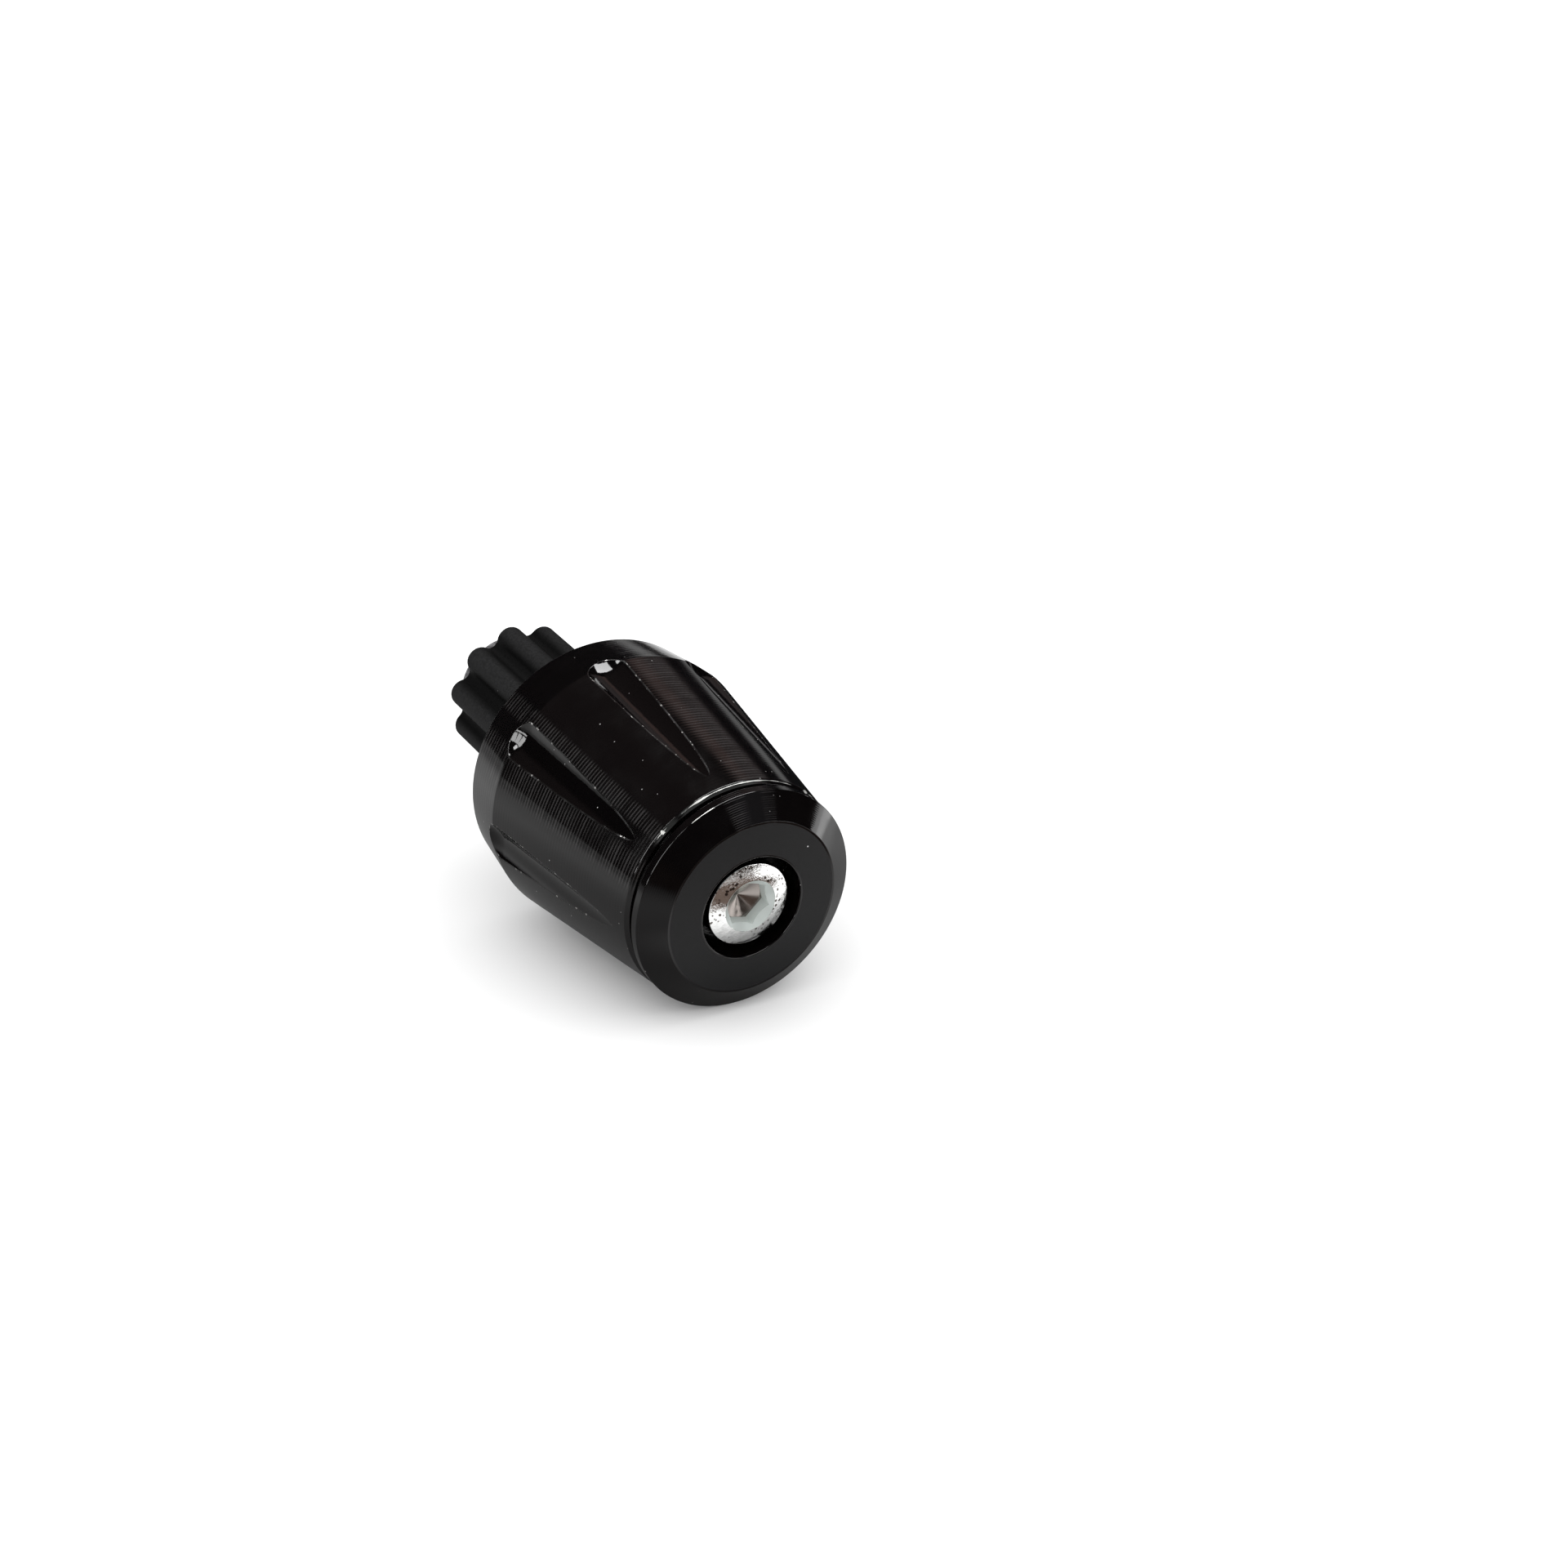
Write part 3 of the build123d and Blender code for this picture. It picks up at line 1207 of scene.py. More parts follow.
@dataclass(frozen=True)
class TurnedAnodised(Finish):
    """Glossy black anodised aluminium with lathe rings, a few grains of dust, chipped edges, and painted
    glints and highlights.
    """

    name: str = "black_anodised_turned"
    colour: Colour = (0.0011, 0.0008, 0.0008)
    clouds: Noise = Noise(0.35, 3.0)
    cloud_share: float = 1.7
    roughness: float = 0.1
    roughness_shares: Span = (0.8, 1.25)
    ior: float = 1.48
    anisotropy: float = 0.6
    streak_turn: float = 0.25
    pitch: float = 0.56
    line_depth: float = 0.004
    # Painted glints: the rings' crests are painted lighter in these bands about the axis, in degrees.
    glint_bands: tuple[Span, ...] = ((131.0, 141.0), (148.0, 168.0), (73.0, 92.0))
    glint_colour: Colour = (0.026, 0.0245, 0.0245)
    dust: Specks = Specks(0.9, 0.06, 0.16)
    dust_colour: Colour = (0.28, 0.275, 0.27)
    edge: Corner = Corner(14.0, BODY_FRONT + 0.3)
    nick_width: float = 0.12
    nick_share: Fade = Fade(4.0, 13.0, 0.36, 0.6)
    # Painted highlight: a faint light line along the shoulder's rim, painted as raw metal.
    rear_edge: Corner | None = SHOULDER_RIM
    rear_share: float = 0.56
    rear_strength: float = 0.3
    chip_angles: tuple[float, ...] = (134.2, 50.0)
    chip_size: float = 0.27
    chip_outline: Noise = Noise(2.5, 3.0)
    bare_and_glint_colour: Colour = (0.62, 0.62, 0.6)
    spoiled_roughness: float = 0.4

    def painted_glints(self, surface: Surface, crests: Signal) -> Signal:
        """Picks the rings that are painted lighter as glints of light, between each pair of angles about the
        axis.

        Args:
            surface: The material's graph.
            crests: The mask of all the rings' crests.

        Returns:
            Their mask.
        """
        mask: Feed = 0.0
        for start, stop in self.glint_bands:
            mask = surface.math("MAXIMUM", mask, surface.band(start, stop))
        return surface.math("MULTIPLY", mask, crests)

    def chip(self, surface: Surface, angle: float) -> Signal:
        """One ragged chip in the edge.

        Args:
            surface: The material's graph.
            angle: Its place about the axis, in radians.

        Returns:
            Its mask.
        """
        middle = (self.edge.radius * cos(angle), self.edge.station, self.edge.radius * sin(angle))
        away = surface.node("VectorMath", {0: surface.place, 1: middle}, operation="DISTANCE")
        reach = surface.math("MULTIPLY", surface.noise(self.chip_outline), 2 * self.chip_size)
        return surface.math("LESS_THAN", away.outputs["Value"], reach)

    def worn_and_glinting(self, surface: Surface) -> Signal:
        """The raw metal: nicks along the edges, more of them on top, a chip at each angle and, where there is
        a rear edge, a faint painted highlight along it.

        Args:
            surface: The material's graph.

        Returns:
            Its mask.
        """
        share = surface.fade(surface.axes["Z"], self.nick_share)
        mask = surface.nicks(self.edge, self.nick_width, share)
        if self.rear_edge:
            # Painted highlight along the rear edge, at part strength.
            glinting = surface.nicks(self.rear_edge, self.nick_width, self.rear_share)
            mask = surface.math("MAXIMUM", mask, surface.math("MULTIPLY", glinting, self.rear_strength))
        for angle in self.chip_angles:
            mask = surface.math("MAXIMUM", mask, self.chip(surface, radians(angle)))
        return mask

    def inputs(self, surface: Surface) -> dict[str, Feed]:
        """Says what goes into the shader.

        Args:
            surface: The material's graph.

        Returns:
            Values and outputs, by the names of the shader's sockets.
        """
        lines = surface.lines(self.pitch)
        dust, bare_and_glint = surface.specks(self.dust), self.worn_and_glinting(surface)
        clouds = surface.noise(self.clouds)
        base = surface.blend(clouds, self.colour, scaled(self.colour, self.cloud_share))
        # Painted glints on the rings' crests.
        base = surface.blend(self.painted_glints(surface, lines["Glint"]), base, self.glint_colour)
        base = surface.blend(dust, base, self.dust_colour)
        rough = surface.vary(clouds, self.roughness, self.roughness_shares)
        spoiled = surface.math("MULTIPLY", surface.math("MAXIMUM", dust, bare_and_glint), self.spoiled_roughness)
        # Raw metal at the nicks and chips, and the faint painted highlight along the rear edge.
        return {
            "Base Color": surface.blend(bare_and_glint, base, self.bare_and_glint_colour),
            "Metallic": bare_and_glint,
            "Roughness": surface.math("ADD", rough, spoiled),
            "IOR": self.ior,
            "Anisotropic": self.anisotropy,
            "Anisotropic Rotation": self.streak_turn,
            "Normal": surface.bump(lines["Height"], self.line_depth),
            "Tangent": surface.node("Tangent", direction_type="RADIAL", axis="Y").outputs[0],
        }


@dataclass(frozen=True)
class TurnedCap(TurnedAnodised):
    """The same finish on the cap, with closer rings, and finer nicks on the bevel's edge."""

    name: str = "cap_anodised_turned"
    ior: float = 1.4
    pitch: float = 0.35
    # Painted glints on the bevel's rings, in these bands about the axis.
    glint_bands: tuple[Span, ...] = ((76.0, 86.0), (92.0, 106.0))
    edge: Corner = CAP_RIM
    nick_width: float = 0.09
    nick_share: Fade = Fade(4.0, 13.0, 0.3, 0.5)
    rear_edge: Corner | None = None
    chip_angles: tuple[float, ...] = ()


@dataclass(frozen=True)
class MilledAnodised(Finish):
    """Black anodised aluminium as a ball cutter leaves it: smooth, with faint marks."""

    name: str = "black_anodised_milled"
    colour: Colour = (0.0011, 0.0008, 0.0008)
    roughness: float = 0.06
    roughness_shares: Span = (0.8, 1.4)
    ior: float = 1.48
    marks: Noise = Noise(1.4, 4.0)
    mark_depth: float = 0.012
    dust: Specks = Specks(0.9, 0.06, 0.2)
    dust_colour: Colour = (0.3, 0.295, 0.29)
    dust_roughness: float = 0.4

    def inputs(self, surface: Surface) -> dict[str, Feed]:
        """Says what goes into the shader.

        Args:
            surface: The material's graph.

        Returns:
            Values and outputs, by the names of the shader's sockets.
        """
        dust, marks = surface.specks(self.dust), surface.noise(self.marks)
        rough = surface.vary(marks, self.roughness, self.roughness_shares)
        return {
            "Base Color": surface.blend(dust, self.colour, self.dust_colour),
            "Roughness": surface.math("ADD", rough, surface.math("MULTIPLY", dust, self.dust_roughness)),
            "IOR": self.ior,
            "Normal": surface.bump(marks, self.mark_depth),
        }


@dataclass(frozen=True)
class BeadedRim(Finish):
    """The edge of a flute: black, with painted glints: a row of small beads painted light grey and metallic.
    """

    name: str = "black_anodised_rim"
    colour: Colour = (0.003, 0.0025, 0.0023)
    bare_and_glint_colour: Colour = (0.6, 0.59, 0.57)
    roughness: float = 0.22
    roughness_shares: Span = (0.7, 1.5)
    ior: float = 1.55
    # Painted glints along the rim, in patches set by the noise.
    beads: Specks = Specks(0.5, 0.18, 0.5)
    glinting: Noise = Noise(0.5, 2.0)
    glint_fade: Fade = Fade(0.4, 0.62)

    def inputs(self, surface: Surface) -> dict[str, Feed]:
        """Says what goes into the shader.

        Args:
            surface: The material's graph.

        Returns:
            Values and outputs, by the names of the shader's sockets.
        """
        # Painted glints: beads of light grey metal where the noise allows.
        glinting = surface.noise(self.glinting)
        beads = surface.math("MULTIPLY", surface.specks(self.beads), surface.fade(glinting, self.glint_fade))
        return {
            "Base Color": surface.blend(beads, self.colour, self.bare_and_glint_colour),
            "Metallic": beads,
            "Roughness": surface.vary(glinting, self.roughness, self.roughness_shares),
            "IOR": self.ior,
        }


@dataclass(frozen=True)
class SatinAnodised(Finish):
    """Blasted black anodised aluminium: matt, finely grained, with faint rings and some dust."""

    name: str = "cap_anodised_satin"
    colour: Colour = (0.0032, 0.0032, 0.0037)
    grain: Noise = Noise(9.0, 3.0)
    grain_share: float = 1.25
    grain_depth: float = 0.006
    roughness: float = 0.5
    roughness_shares: Span = (0.9, 1.15)
    ior: float = 1.5
    specular: float = 0.3
    pitch: float = 0.22
    line_share: float = 0.3
    dust: Specks = Specks(2.2, 0.1, 0.2)
    dust_colour: Colour = (0.45, 0.45, 0.45)

    def inputs(self, surface: Surface) -> dict[str, Feed]:
        """Says what goes into the shader.

        Args:
            surface: The material's graph.

        Returns:
            Values and outputs, by the names of the shader's sockets.
        """
        grain = surface.noise(self.grain)
        base = surface.blend(grain, self.colour, scaled(self.colour, self.grain_share))
        rings = surface.math("MULTIPLY", surface.lines(self.pitch)["Height"], self.line_share)
        return {
            "Base Color": surface.blend(surface.specks(self.dust), base, self.dust_colour),
            "Roughness": surface.vary(grain, self.roughness, self.roughness_shares),
            "IOR": self.ior,
            "Specular IOR Level": self.specular,
            "Normal": surface.bump(surface.math("ADD", grain, rings), self.grain_depth),
        }


@dataclass(frozen=True)
class Chrome(Finish):
    """Bright plated steel with orange peel and dark pits. Its socket has dull walls and a floor painted dark
    as painted shade.
    """

    screw: SocketScrew
    name: str = "screw_chrome_plate"
    colour: Colour = (0.95, 0.955, 0.945)
    dull_share: float = 0.85
    dull_fade: Fade = Fade(0.45, 0.75)
    roughness: Fade = Fade(0.3, 0.75, 0.035, 0.084)
    peel: Noise = Noise(1.6, 2.0)
    peel_depth: float = 0.02
    grit: Noise = Noise(6.0, 4.0)
    grit_share: float = 0.6
    pits: Specks = Specks(0.7, 0.11, 0.2)
    fine_pits: Specks = Specks(0.42, 0.17, 0.6)
    pitted: Noise = Noise(0.5, 3.0)
    pitted_fade: Fade = Fade(0.44, 0.54)
    pit_colour: Colour = (0.13, 0.115, 0.105)
    mouth_colour: Colour = (0.45, 0.485, 0.468)
    wall_colour: Colour = (0.66, 0.71, 0.685)
    wall_metal: float = 0.25
    wall_roughness: float = 0.25
    # Painted shade: the socket's floor is painted dark, as if in shadow.
    floor_colour: Colour = (0.32, 0.29, 0.27)
    floor_roughness: float = 0.1
    socket_peel: float = 0.1
    seam: float = 0.02

    def socket(self, surface: Surface, head: Signal) -> tuple[Signal, Signal, Signal]:
        """Tells the screw's socket from the rest of its head.

        Args:
            surface: The material's graph.
            head: The mask of the head.

        Returns:
            The masks of the whole socket, of all below its lip, and of its floor, which is painted dark as
            painted shade.
        """
        radius, station = surface.radius, surface.station
        lip = self.screw.mouth + self.screw.mouth_radius + 2 * self.seam
        narrow = surface.math("LESS_THAN", radius, self.screw.mouth_radius - self.seam)
        socket = surface.math("MULTIPLY", narrow, head)
        below = surface.math("GREATER_THAN", surface.math("ADD", radius, station), lip)
        deepest = surface.math("GREATER_THAN", station, self.screw.floor - self.seam)
        return socket, *(surface.math("MULTIPLY", socket, part) for part in (below, deepest))

    def pitting(self, surface: Surface, head: Signal) -> Signal:
        """Single pits all over, and crowded fine ones in places on the head.

        Args:
            surface: The material's graph.
            head: The mask of the head.

        Returns:
            Their mask.
        """
        fine = surface.math("MULTIPLY", surface.specks(self.fine_pits), head)
        fine = surface.math("MULTIPLY", fine, surface.fade(surface.noise(self.pitted), self.pitted_fade))
        return surface.math("MAXIMUM", surface.specks(self.pits), fine)

    def inputs(self, surface: Surface) -> dict[str, Feed]:
        """Says what goes into the shader.

        Args:
            surface: The material's graph.

        Returns:
            Values and outputs, by the names of the shader's sockets.
        """
        head = surface.math("LESS_THAN", surface.station, HEAD_SEAT)
        socket, below, floor = self.socket(surface, head)
        outside = surface.math("SUBTRACT", 1.0, socket)
        dulled = surface.math("SUBTRACT", socket, floor)
        peel = surface.noise(self.peel)
        dull = scaled(self.colour, self.dull_share)
        base = surface.blend(surface.fade(peel, self.dull_fade), self.colour, dull)
        # The socket's colours; the floor's dark colour is painted shade.
        painted = ((socket, self.mouth_colour), (below, self.wall_colour), (floor, self.floor_colour))
        for mask, colour in painted:
            base = surface.blend(mask, base, colour)
        rough = surface.fade(peel, self.roughness)
        for mask, more in ((dulled, self.wall_roughness), (floor, self.floor_roughness)):
            rough = surface.math("ADD", rough, surface.math("MULTIPLY", mask, more))
        lost = surface.math("MULTIPLY", dulled, 1 - self.wall_metal)
        pits = surface.math("MULTIPLY", self.pitting(surface, head), outside)
        grit = surface.math("MULTIPLY", surface.noise(self.grit), self.grit_share)
        height = surface.math("ADD", peel, grit)
        height = surface.math("MULTIPLY", height, surface.math("ADD", outside, self.socket_peel))
        return {
            "Base Color": surface.blend(pits, base, self.pit_colour),
            "Metallic": surface.math("SUBTRACT", 1.0, lost),
            "Roughness": rough,
            "Normal": surface.bump(height, self.peel_depth),
        }


@dataclass(frozen=True)
class Rubber(Finish):
    """Matt dark rubber with specks of dust, painted light on its crests and painted shade in the valleys
    between them.
    """

    name: str = "plug_rubber_dusty"
    # Painted shade in the valleys and painted light on the crests, by the distance from the axis.
    shaded_valley_colour: Colour = (0.0006, 0.0006, 0.0006)
    lit_crest_colour: Colour = (0.0145, 0.0145, 0.015)
    rise: Fade = Fade(8.4, 9.4)
    grain: Noise = Noise(3.5, 6.0)
    grain_depth: float = 0.03
    crest_light_mottle: Fade = Fade(0.25, 0.75, 0.6, 1.0)
    roughness: Fade = Fade(0.2, 0.8, 0.5, 0.72)
    ior: float = 1.5
    specular: float = 0.07
    dust: Specks = Specks(1.8, 0.08, 0.14)
    dust_colour: Colour = (0.3, 0.3, 0.29)

    def inputs(self, surface: Surface) -> dict[str, Feed]:
        """Says what goes into the shader.

        Args:
            surface: The material's graph.

        Returns:
            Values and outputs, by the names of the shader's sockets.
        """
        grain = surface.noise(self.grain)
        # Painted light on the crests, mottled by the grain, and painted shade in the valleys.
        rise = surface.fade(surface.radius, self.rise)
        lit_crests = surface.math("MULTIPLY", rise, surface.fade(grain, self.crest_light_mottle))
        base = surface.blend(lit_crests, self.shaded_valley_colour, self.lit_crest_colour)
        return {
            "Base Color": surface.blend(surface.specks(self.dust), base, self.dust_colour),
            "Roughness": surface.fade(grain, self.roughness),
            "IOR": self.ior,
            "Specular IOR Level": self.specular,
            "Normal": surface.bump(grain, self.grain_depth),
        }


@dataclass(frozen=True)
class Zinc(Finish):
    """Dull zinc plate over turned steel, spotted with grey."""

    name: str = "nut_zinc_plate"
    colour: Colour = (0.42, 0.42, 0.43)
    spots: Noise = Noise(2.4, 5.0)
    spot_fade: Fade = Fade(0.35, 0.7)
    spot_share: float = 0.78
    roughness: float = 0.36
    roughness_shares: Span = (0.8, 1.35)
    pitch: float = 0.18
    line_depth: float = 0.004

    def inputs(self, surface: Surface) -> dict[str, Feed]:
        """Says what goes into the shader.

        Args:
            surface: The material's graph.

        Returns:
            Values and outputs, by the names of the shader's sockets.
        """
        spots = surface.noise(self.spots)
        spotted = surface.fade(spots, self.spot_fade)
        return {
            "Base Color": surface.blend(spotted, self.colour, scaled(self.colour, self.spot_share)),
            "Metallic": 1.0,
            "Roughness": surface.vary(spots, self.roughness, self.roughness_shares),
            "Normal": surface.bump(surface.lines(self.pitch)["Height"], self.line_depth),
        }


def towards(azimuth: float, elevation: float) -> Vector:
    """A direction from the part: azimuth 0 is in front (-Y), 90 is to the right (+X), in degrees."""
    turn, level = radians(azimuth), cos(radians(elevation))
    return Vector((level * sin(turn), -level * cos(turn), sin(radians(elevation))))


@dataclass(frozen=True)
class Pane:
    """A rectangular light that only mirrors show. Its middle is in that direction from the part."""

    name: str
    direction: Span
    distance: float
    size: Span
    radiance: float
    level: bool = False

    def hang(self) -> None:
        """Hangs the light so that it faces the part, or straight down where it is level."""
        data = bpy.data.lights.new(self.name, "AREA")
        data.shape = "RECTANGLE"
        data.size, data.size_y = (side * MM for side in self.size)
        data.energy = self.radiance * pi * data.size * data.size_y
        lamp = bpy.data.objects.new(self.name, data)
        bpy.context.scene.collection.objects.link(lamp)
        away = towards(*self.direction)
        lamp.location = away * self.distance * MM
        if not self.level:
            lamp.rotation_euler = away.to_track_quat("Z", "Y").to_euler()
        lamp.visible_camera = lamp.visible_diffuse = False


@dataclass(frozen=True)
class Patch:
    """A part of the room that mirrors show, from one azimuth and elevation to another, with soft sides."""

    azimuth: Span
    elevation: Span
    colour: Colour
    soft: float = 2.5

    def mask(self, graph: Graph, azimuth: Signal, elevation: Signal) -> Signal:
        """Where a ray meets the patch.

        Args:
            graph: The room's graph.
            azimuth: The ray's azimuth in degrees.
            elevation: The ray's elevation in degrees.

        Returns:
            The patch's mask.
        """
        across = graph.math("SUBTRACT", azimuth, sum(self.azimuth) / 2)
        height = graph.math("SUBTRACT", elevation, sum(self.elevation) / 2)
        inside = []
        for off, (start, stop) in ((across, self.azimuth), (height, self.elevation)):
            off = graph.math("PINGPONG", off, HALF_TURN)
            inside.append(graph.within(off, (stop - start) / 2, self.soft))
        return graph.math("MULTIPLY", *inside)


@dataclass(frozen=True)
class Area:
    """A rectangle on the floor with soft sides, by its middle and its half sizes."""

    middle: Span
    half: Span
    soft: float

    def mask(self, surface: Surface) -> Signal:
        """Where the floor is inside the rectangle.

        Args:
            surface: The floor's material.

        Returns:
            The rectangle's mask.
        """
        inside = []
        for axis, middle, half in zip("XY", self.middle, self.half):
            off = surface.math("ABSOLUTE", surface.math("SUBTRACT", surface.axes[axis], middle))
            inside.append(surface.within(off, half, self.soft))
        return surface.math("MULTIPLY", *inside)


@dataclass
class Studio:
    """Pale floor in a dim room, a panel overhead, windows on two sides, and the photograph's camera."""

    camera_place: Vector = Vector((-144.78, -258.674, 161.466))
    camera_right: Vector = Vector((0.84879, -0.52453, 0.0665))
    camera_up: Vector = Vector((0.20431, 0.44139, 0.87375))
    lens: float = 62.32
    sensor: float = 36.0
    clip: Span = (10.0, 20000.0)
    floor_tilt: float = 7.2255
    floor_touch: Vector = Vector((0.0, WIDEST_RING.station, -WIDEST_RING.radius))
    floor_side: float = 6000.0
    floor_colour: Colour = (0.85, 0.85, 0.85)
    sheet: Area = Area((-950.0, 1392.0), (1550.0, 1500.0), 8.0)
    # Painted light and shade on the mirrored sheet: darker close to the part as its shadow, fading with
    # distance, dimmer to the front-left, lighter in front and to the right.
    sheet_near: Fade = Fade(25.0, 90.0, 0.24, 0.46)
    sheet_far: Fade = Fade(110.0, 350.0, 1.0, 0.45)
    sheet_front: Fade = Fade(-44.0, -34.0, 0.55, 0.0)
    sheet_left: Fade = Fade(-26.0, -10.0)
    sheet_fade: Fade = Fade(55.0, 140.0, 1.0, 0.12)
    sheet_right: Fade = Fade(30.0, 80.0, 0.0, 0.2)
    table_colour: Colour = (0.03, 0.022, 0.018)
    strip: Area = Area((11.0, -76.0), (25.0, 24.0), 3.0)
    strip_colour: Colour = (0.09, 0.066, 0.055)
    card_place: Vector = Vector((45.0, 10.0, -3.5))
    card_size: Span = (70.0, 32.0)
    card_colour: Colour = (0.01, 0.01, 0.011)
    matt_roughness: float = 0.9
    fill: float = 1.6
    room_colour: Colour = (0.016, 0.015, 0.017)
    sky_colour: Colour = (1.0, 1.0, 1.0)
    panes: tuple[Pane, ...] = (
        Pane("overhead_panel", (100.8, 77.9), 716.0, (574.0, 448.0), 14.0, level=True),
        Pane("window_left_pane", (-105.5, 28.0), 600.0, (150.0, 310.0), 9.0),
        Pane("window_middle_pane", (-87.0, 28.0), 600.0, (150.0, 310.0), 9.0),
        Pane("window_right_pane", (-68.5, 28.0), 600.0, (150.0, 310.0), 9.0),
        Pane("side_reflector", (63.4, 0.3), 163.0, (42.0, 24.0), 3.2),
        Pane("window_lower", (-87.0, 7.5), 600.0, (560.0, 50.0), 9.0),
        Pane("skylight", (-103.0, 52.0), 600.0, (120.0, 130.0), 14.0),
        Pane("window_front", (36.0, 4.0), 650.0, (280.0, 120.0), 9.0),
    )
    patches: tuple[Patch, ...] = (
        Patch((150.0, 229.0), (33.0, 60.0), (0.08, 0.064, 0.065), 6.0),
        Patch((20.0, 46.0), (24.0, 36.0), (0.2, 0.2, 0.22), 5.0),
        Patch((-52.0, -28.0), (24.0, 42.0), (0.6, 0.62, 0.61)),
        Patch((-25.0, 64.0), (40.0, 56.0), (0.7, 0.73, 0.72)),
        Patch((-6.0, 16.0), (2.0, 16.0), (0.6, 0.64, 0.62)),
        Patch((95.0, 152.0), (0.0, 7.0), (0.45, 0.45, 0.45), 2.0),
        Patch((126.0, 150.0), (20.0, 40.5), (0.2, 0.17, 0.17)),
        Patch((134.0, 150.0), (33.0, 40.5), (0.38, 0.26, 0.24)),
    )

    def camera(self) -> None:
        """Places the camera of the photograph."""
        data = bpy.data.cameras.new("photo_camera")
        data.lens = self.lens
        data.sensor_width = self.sensor
        data.clip_start, data.clip_end = (distance * MM for distance in self.clip)
        back = self.camera_right.cross(self.camera_up)
        turn = Matrix((self.camera_right, self.camera_up, back)).transposed().to_4x4()
        camera = bpy.data.objects.new("photo_camera", data)
        bpy.context.scene.collection.objects.link(camera)
        camera.matrix_world = Matrix.Translation(self.camera_place * MM) @ turn
        bpy.context.scene.camera = camera

    def plain(self, name: str, size: Span) -> tuple[bpy.types.Object, Surface]:
        """Makes a flat rectangle without shine.

        Args:
            name: Its name, which its material shares.
            size: Its width and depth.

        Returns:
            The object, staged, and its material's graph.
        """
        half, deep = (side / 2 * MM for side in size)
        corners = [(-half, -deep, 0), (half, -deep, 0), (half, deep, 0), (-half, deep, 0)]
        mesh = bpy.data.meshes.new(name)
        mesh.from_pydata(corners, [], [(0, 1, 2, 3)])
        sheet = bpy.data.objects.new(name, mesh)
        bpy.context.scene.collection.objects.link(sheet)
        surface = Surface(name)
        mesh.materials.append(surface.dress({"Roughness": self.matt_roughness, "Specular IOR Level": 0.0}))
        return sheet, surface

    def mirrored_sheet(self, surface: Surface) -> Signal:
        """The floor as mirrors show it: a white sheet with painted light and shade on a dark table, and a
        brown strip before the screw.

        Args:
            surface: The floor's material.

        Returns:
            The floor's colour.
        """
        across, along = surface.axes["X"], surface.axes["Y"]
        away = surface.node("VectorMath", {0: surface.place}, operation="LENGTH").outputs["Value"]
        # Painted light and shade: the sheet's grey by distance from the part and by side.
        fades = (self.sheet_near, self.sheet_far, self.sheet_fade)
        near, far, faded = (surface.fade(away, fade) for fade in fades)
        right = surface.fade(across, self.sheet_left)
        front = surface.fade(along, self.sheet_front)
        behind = surface.ramp(along, self.sheet_front.start, self.sheet_front.stop)
        lit = surface.math("MAXIMUM", surface.math("MAXIMUM", right, behind), faded)
        grey = surface.math("MULTIPLY", surface.math("MULTIPLY", near, far), lit)
        grey = surface.math("ADD", grey, surface.math("MULTIPLY", front, right))
        grey = surface.math("ADD", grey, surface.fade(across, self.sheet_right))
        sheet = surface.blend(self.sheet.mask(surface), self.table_colour, grey)
        return surface.blend(self.strip.mask(surface), sheet, self.strip_colour)

    def floor(self) -> None:
        """Lays the floor under the widest ring and the cap's rim."""
        floor, surface = self.plain("pale_floor", (self.floor_side, self.floor_side))
        tilt = Matrix.Rotation(-radians(self.floor_tilt), 4, "X")
        floor.matrix_world = Matrix.Translation(self.floor_touch * MM) @ tilt
        mirrored = surface.node("LightPath").outputs["Is Glossy Ray"]
        seen = surface.blend(mirrored, self.floor_colour, self.mirrored_sheet(surface))
        surface.dress({"Base Color": seen})

    def card(self) -> None:
        """Stands a black card at the part's right side, for mirrors only."""
        card, surface = self.plain("black_card", self.card_size)
        surface.dress({"Base Color": self.card_colour})
        card.location = self.card_place * MM
        card.rotation_euler = (pi / 2, 0.0, pi / 2)
        card.visible_camera = card.visible_diffuse = card.visible_shadow = False

    def world(self) -> None:
        """Sets a dark room for mirrors, even fill for matt surfaces and white for the camera."""
        world = bpy.data.worlds.new("room")
        world.use_nodes = True
        world.cycles.sampling_method = "NONE"
        bpy.context.scene.world = world
        graph = Graph(world.node_tree)
        ray = graph.node("TexCoord").outputs["Generated"]
        split = graph.node("SeparateXYZ", {"Vector": ray}).outputs
        front = graph.math("MULTIPLY", split["Y"], -1.0)
        azimuth = graph.math("DEGREES", graph.math("ARCTAN2", split["X"], front))
        elevation = graph.math("DEGREES", graph.math("ARCSINE", split["Z"]))
        room: Feed = self.room_colour
        for patch in self.patches:
            room = graph.blend(patch.mask(graph, azimuth, elevation), room, patch.colour)
        path = graph.node("LightPath").outputs
        room = graph.blend(path["Is Diffuse Ray"], room, (self.fill, self.fill, self.fill))
        room = graph.blend(path["Is Camera Ray"], room, self.sky_colour)
        graph.feed(world.node_tree.nodes["Background"].inputs["Color"], room)

    def build(self) -> None:
        """Sets up the whole studio."""
        self.camera()
        self.floor()
        self.card()
        for pane in self.panes:
            pane.hang()
        self.world()
        bpy.context.scene.view_settings.view_transform = "Standard"


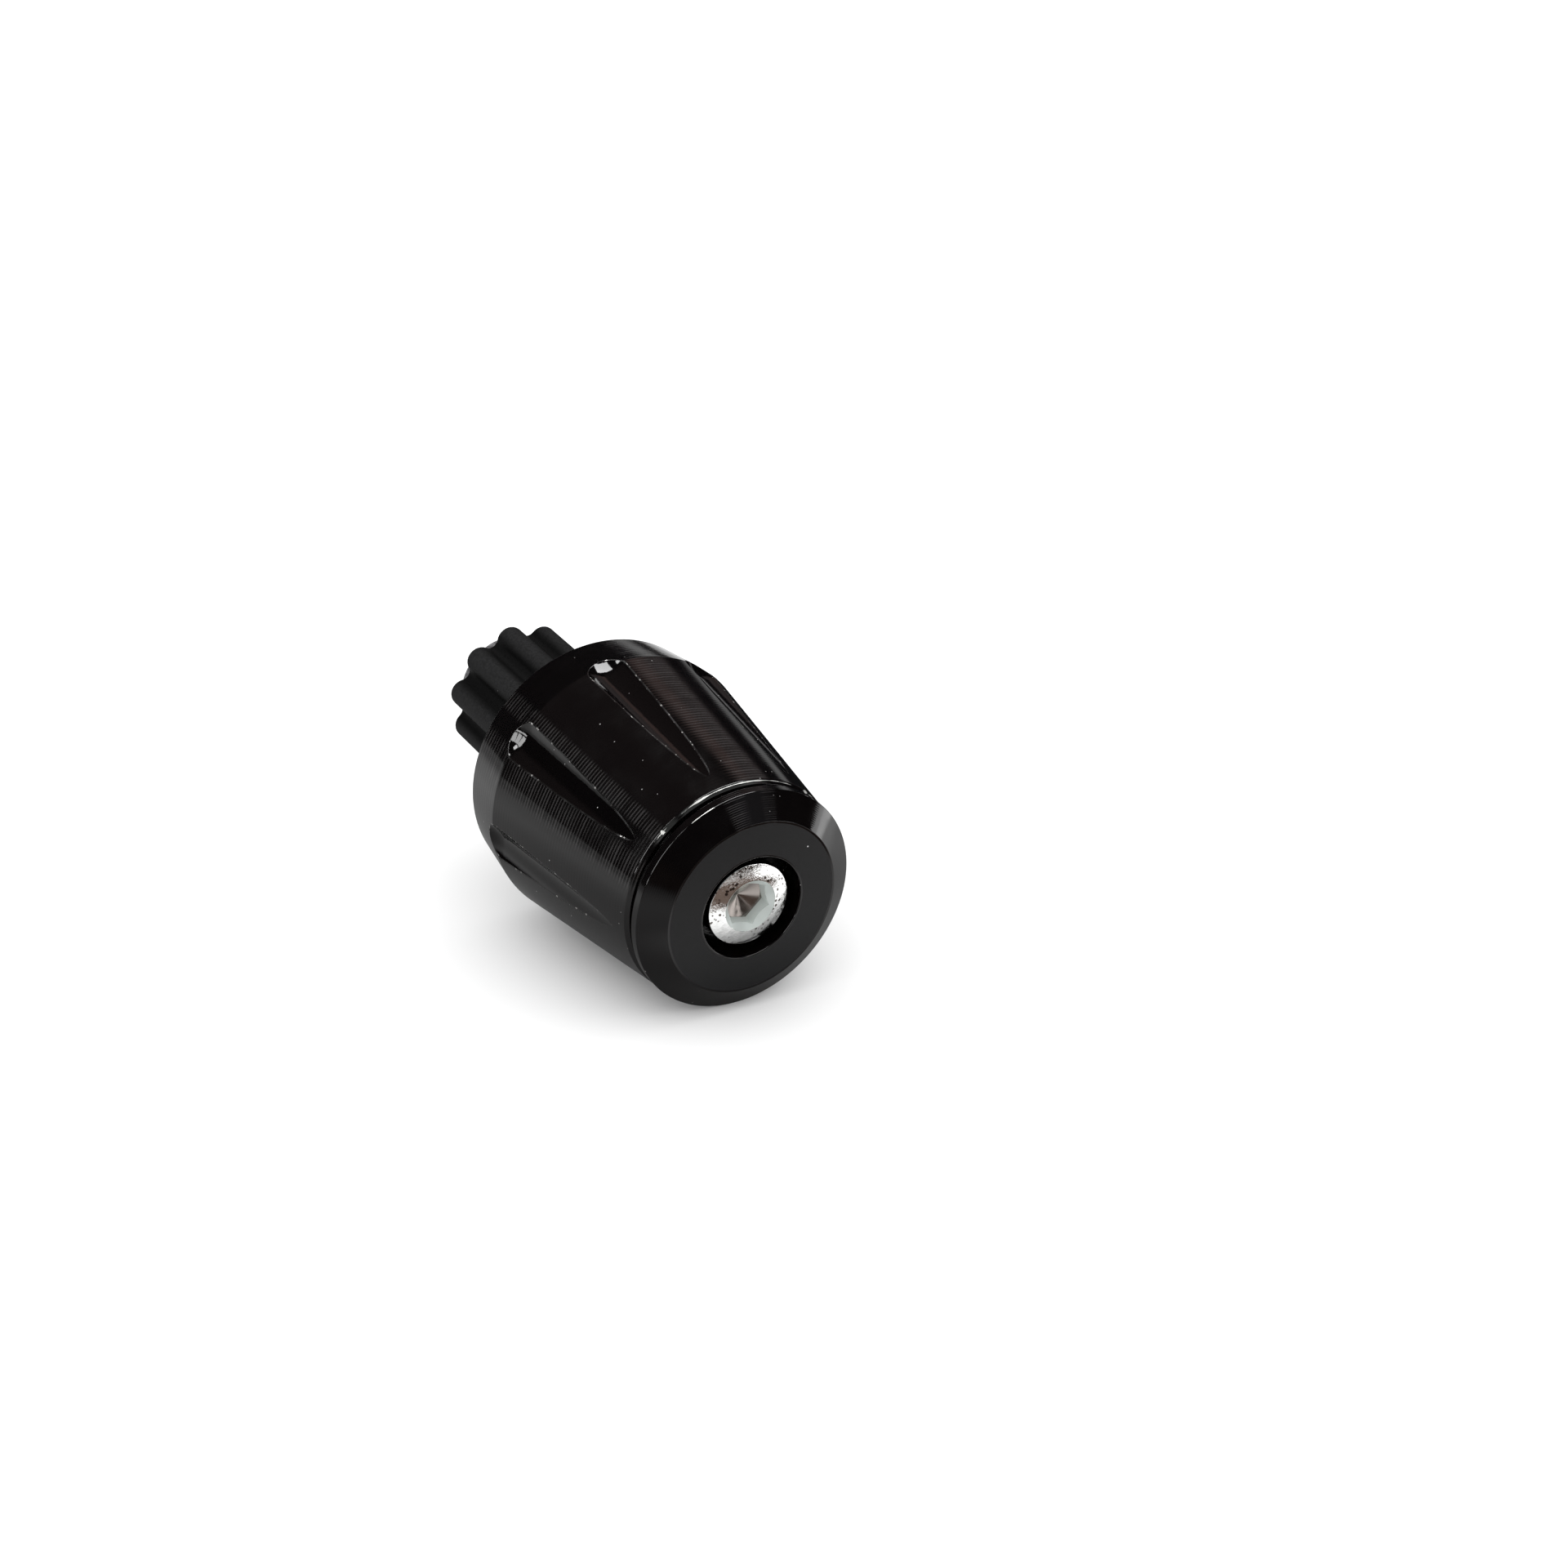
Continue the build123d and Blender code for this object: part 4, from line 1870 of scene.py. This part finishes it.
def main() -> None:
    """Builds every piece, then the studio."""
    logging.basicConfig(level=logging.INFO, format="%(message)s")
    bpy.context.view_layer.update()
    effects = SharedEffects.build()
    body_finishes = (TurnedAnodised(), MilledAnodised(), BeadedRim())
    cap_finishes = (TurnedCap(), SatinAnodised())
    screw = SocketScrew()
    FlutedWeight().build(*(finish.material(effects) for finish in body_finishes))
    BevelledCap().build(*(finish.material(effects) for finish in cap_finishes))
    screw.build(Chrome(screw).material(effects))
    LobedPlug().build(Rubber().material(effects))
    ConeNut().build(Zinc().material(effects))
    Studio().build()


if __name__ == "__main__":
    main()
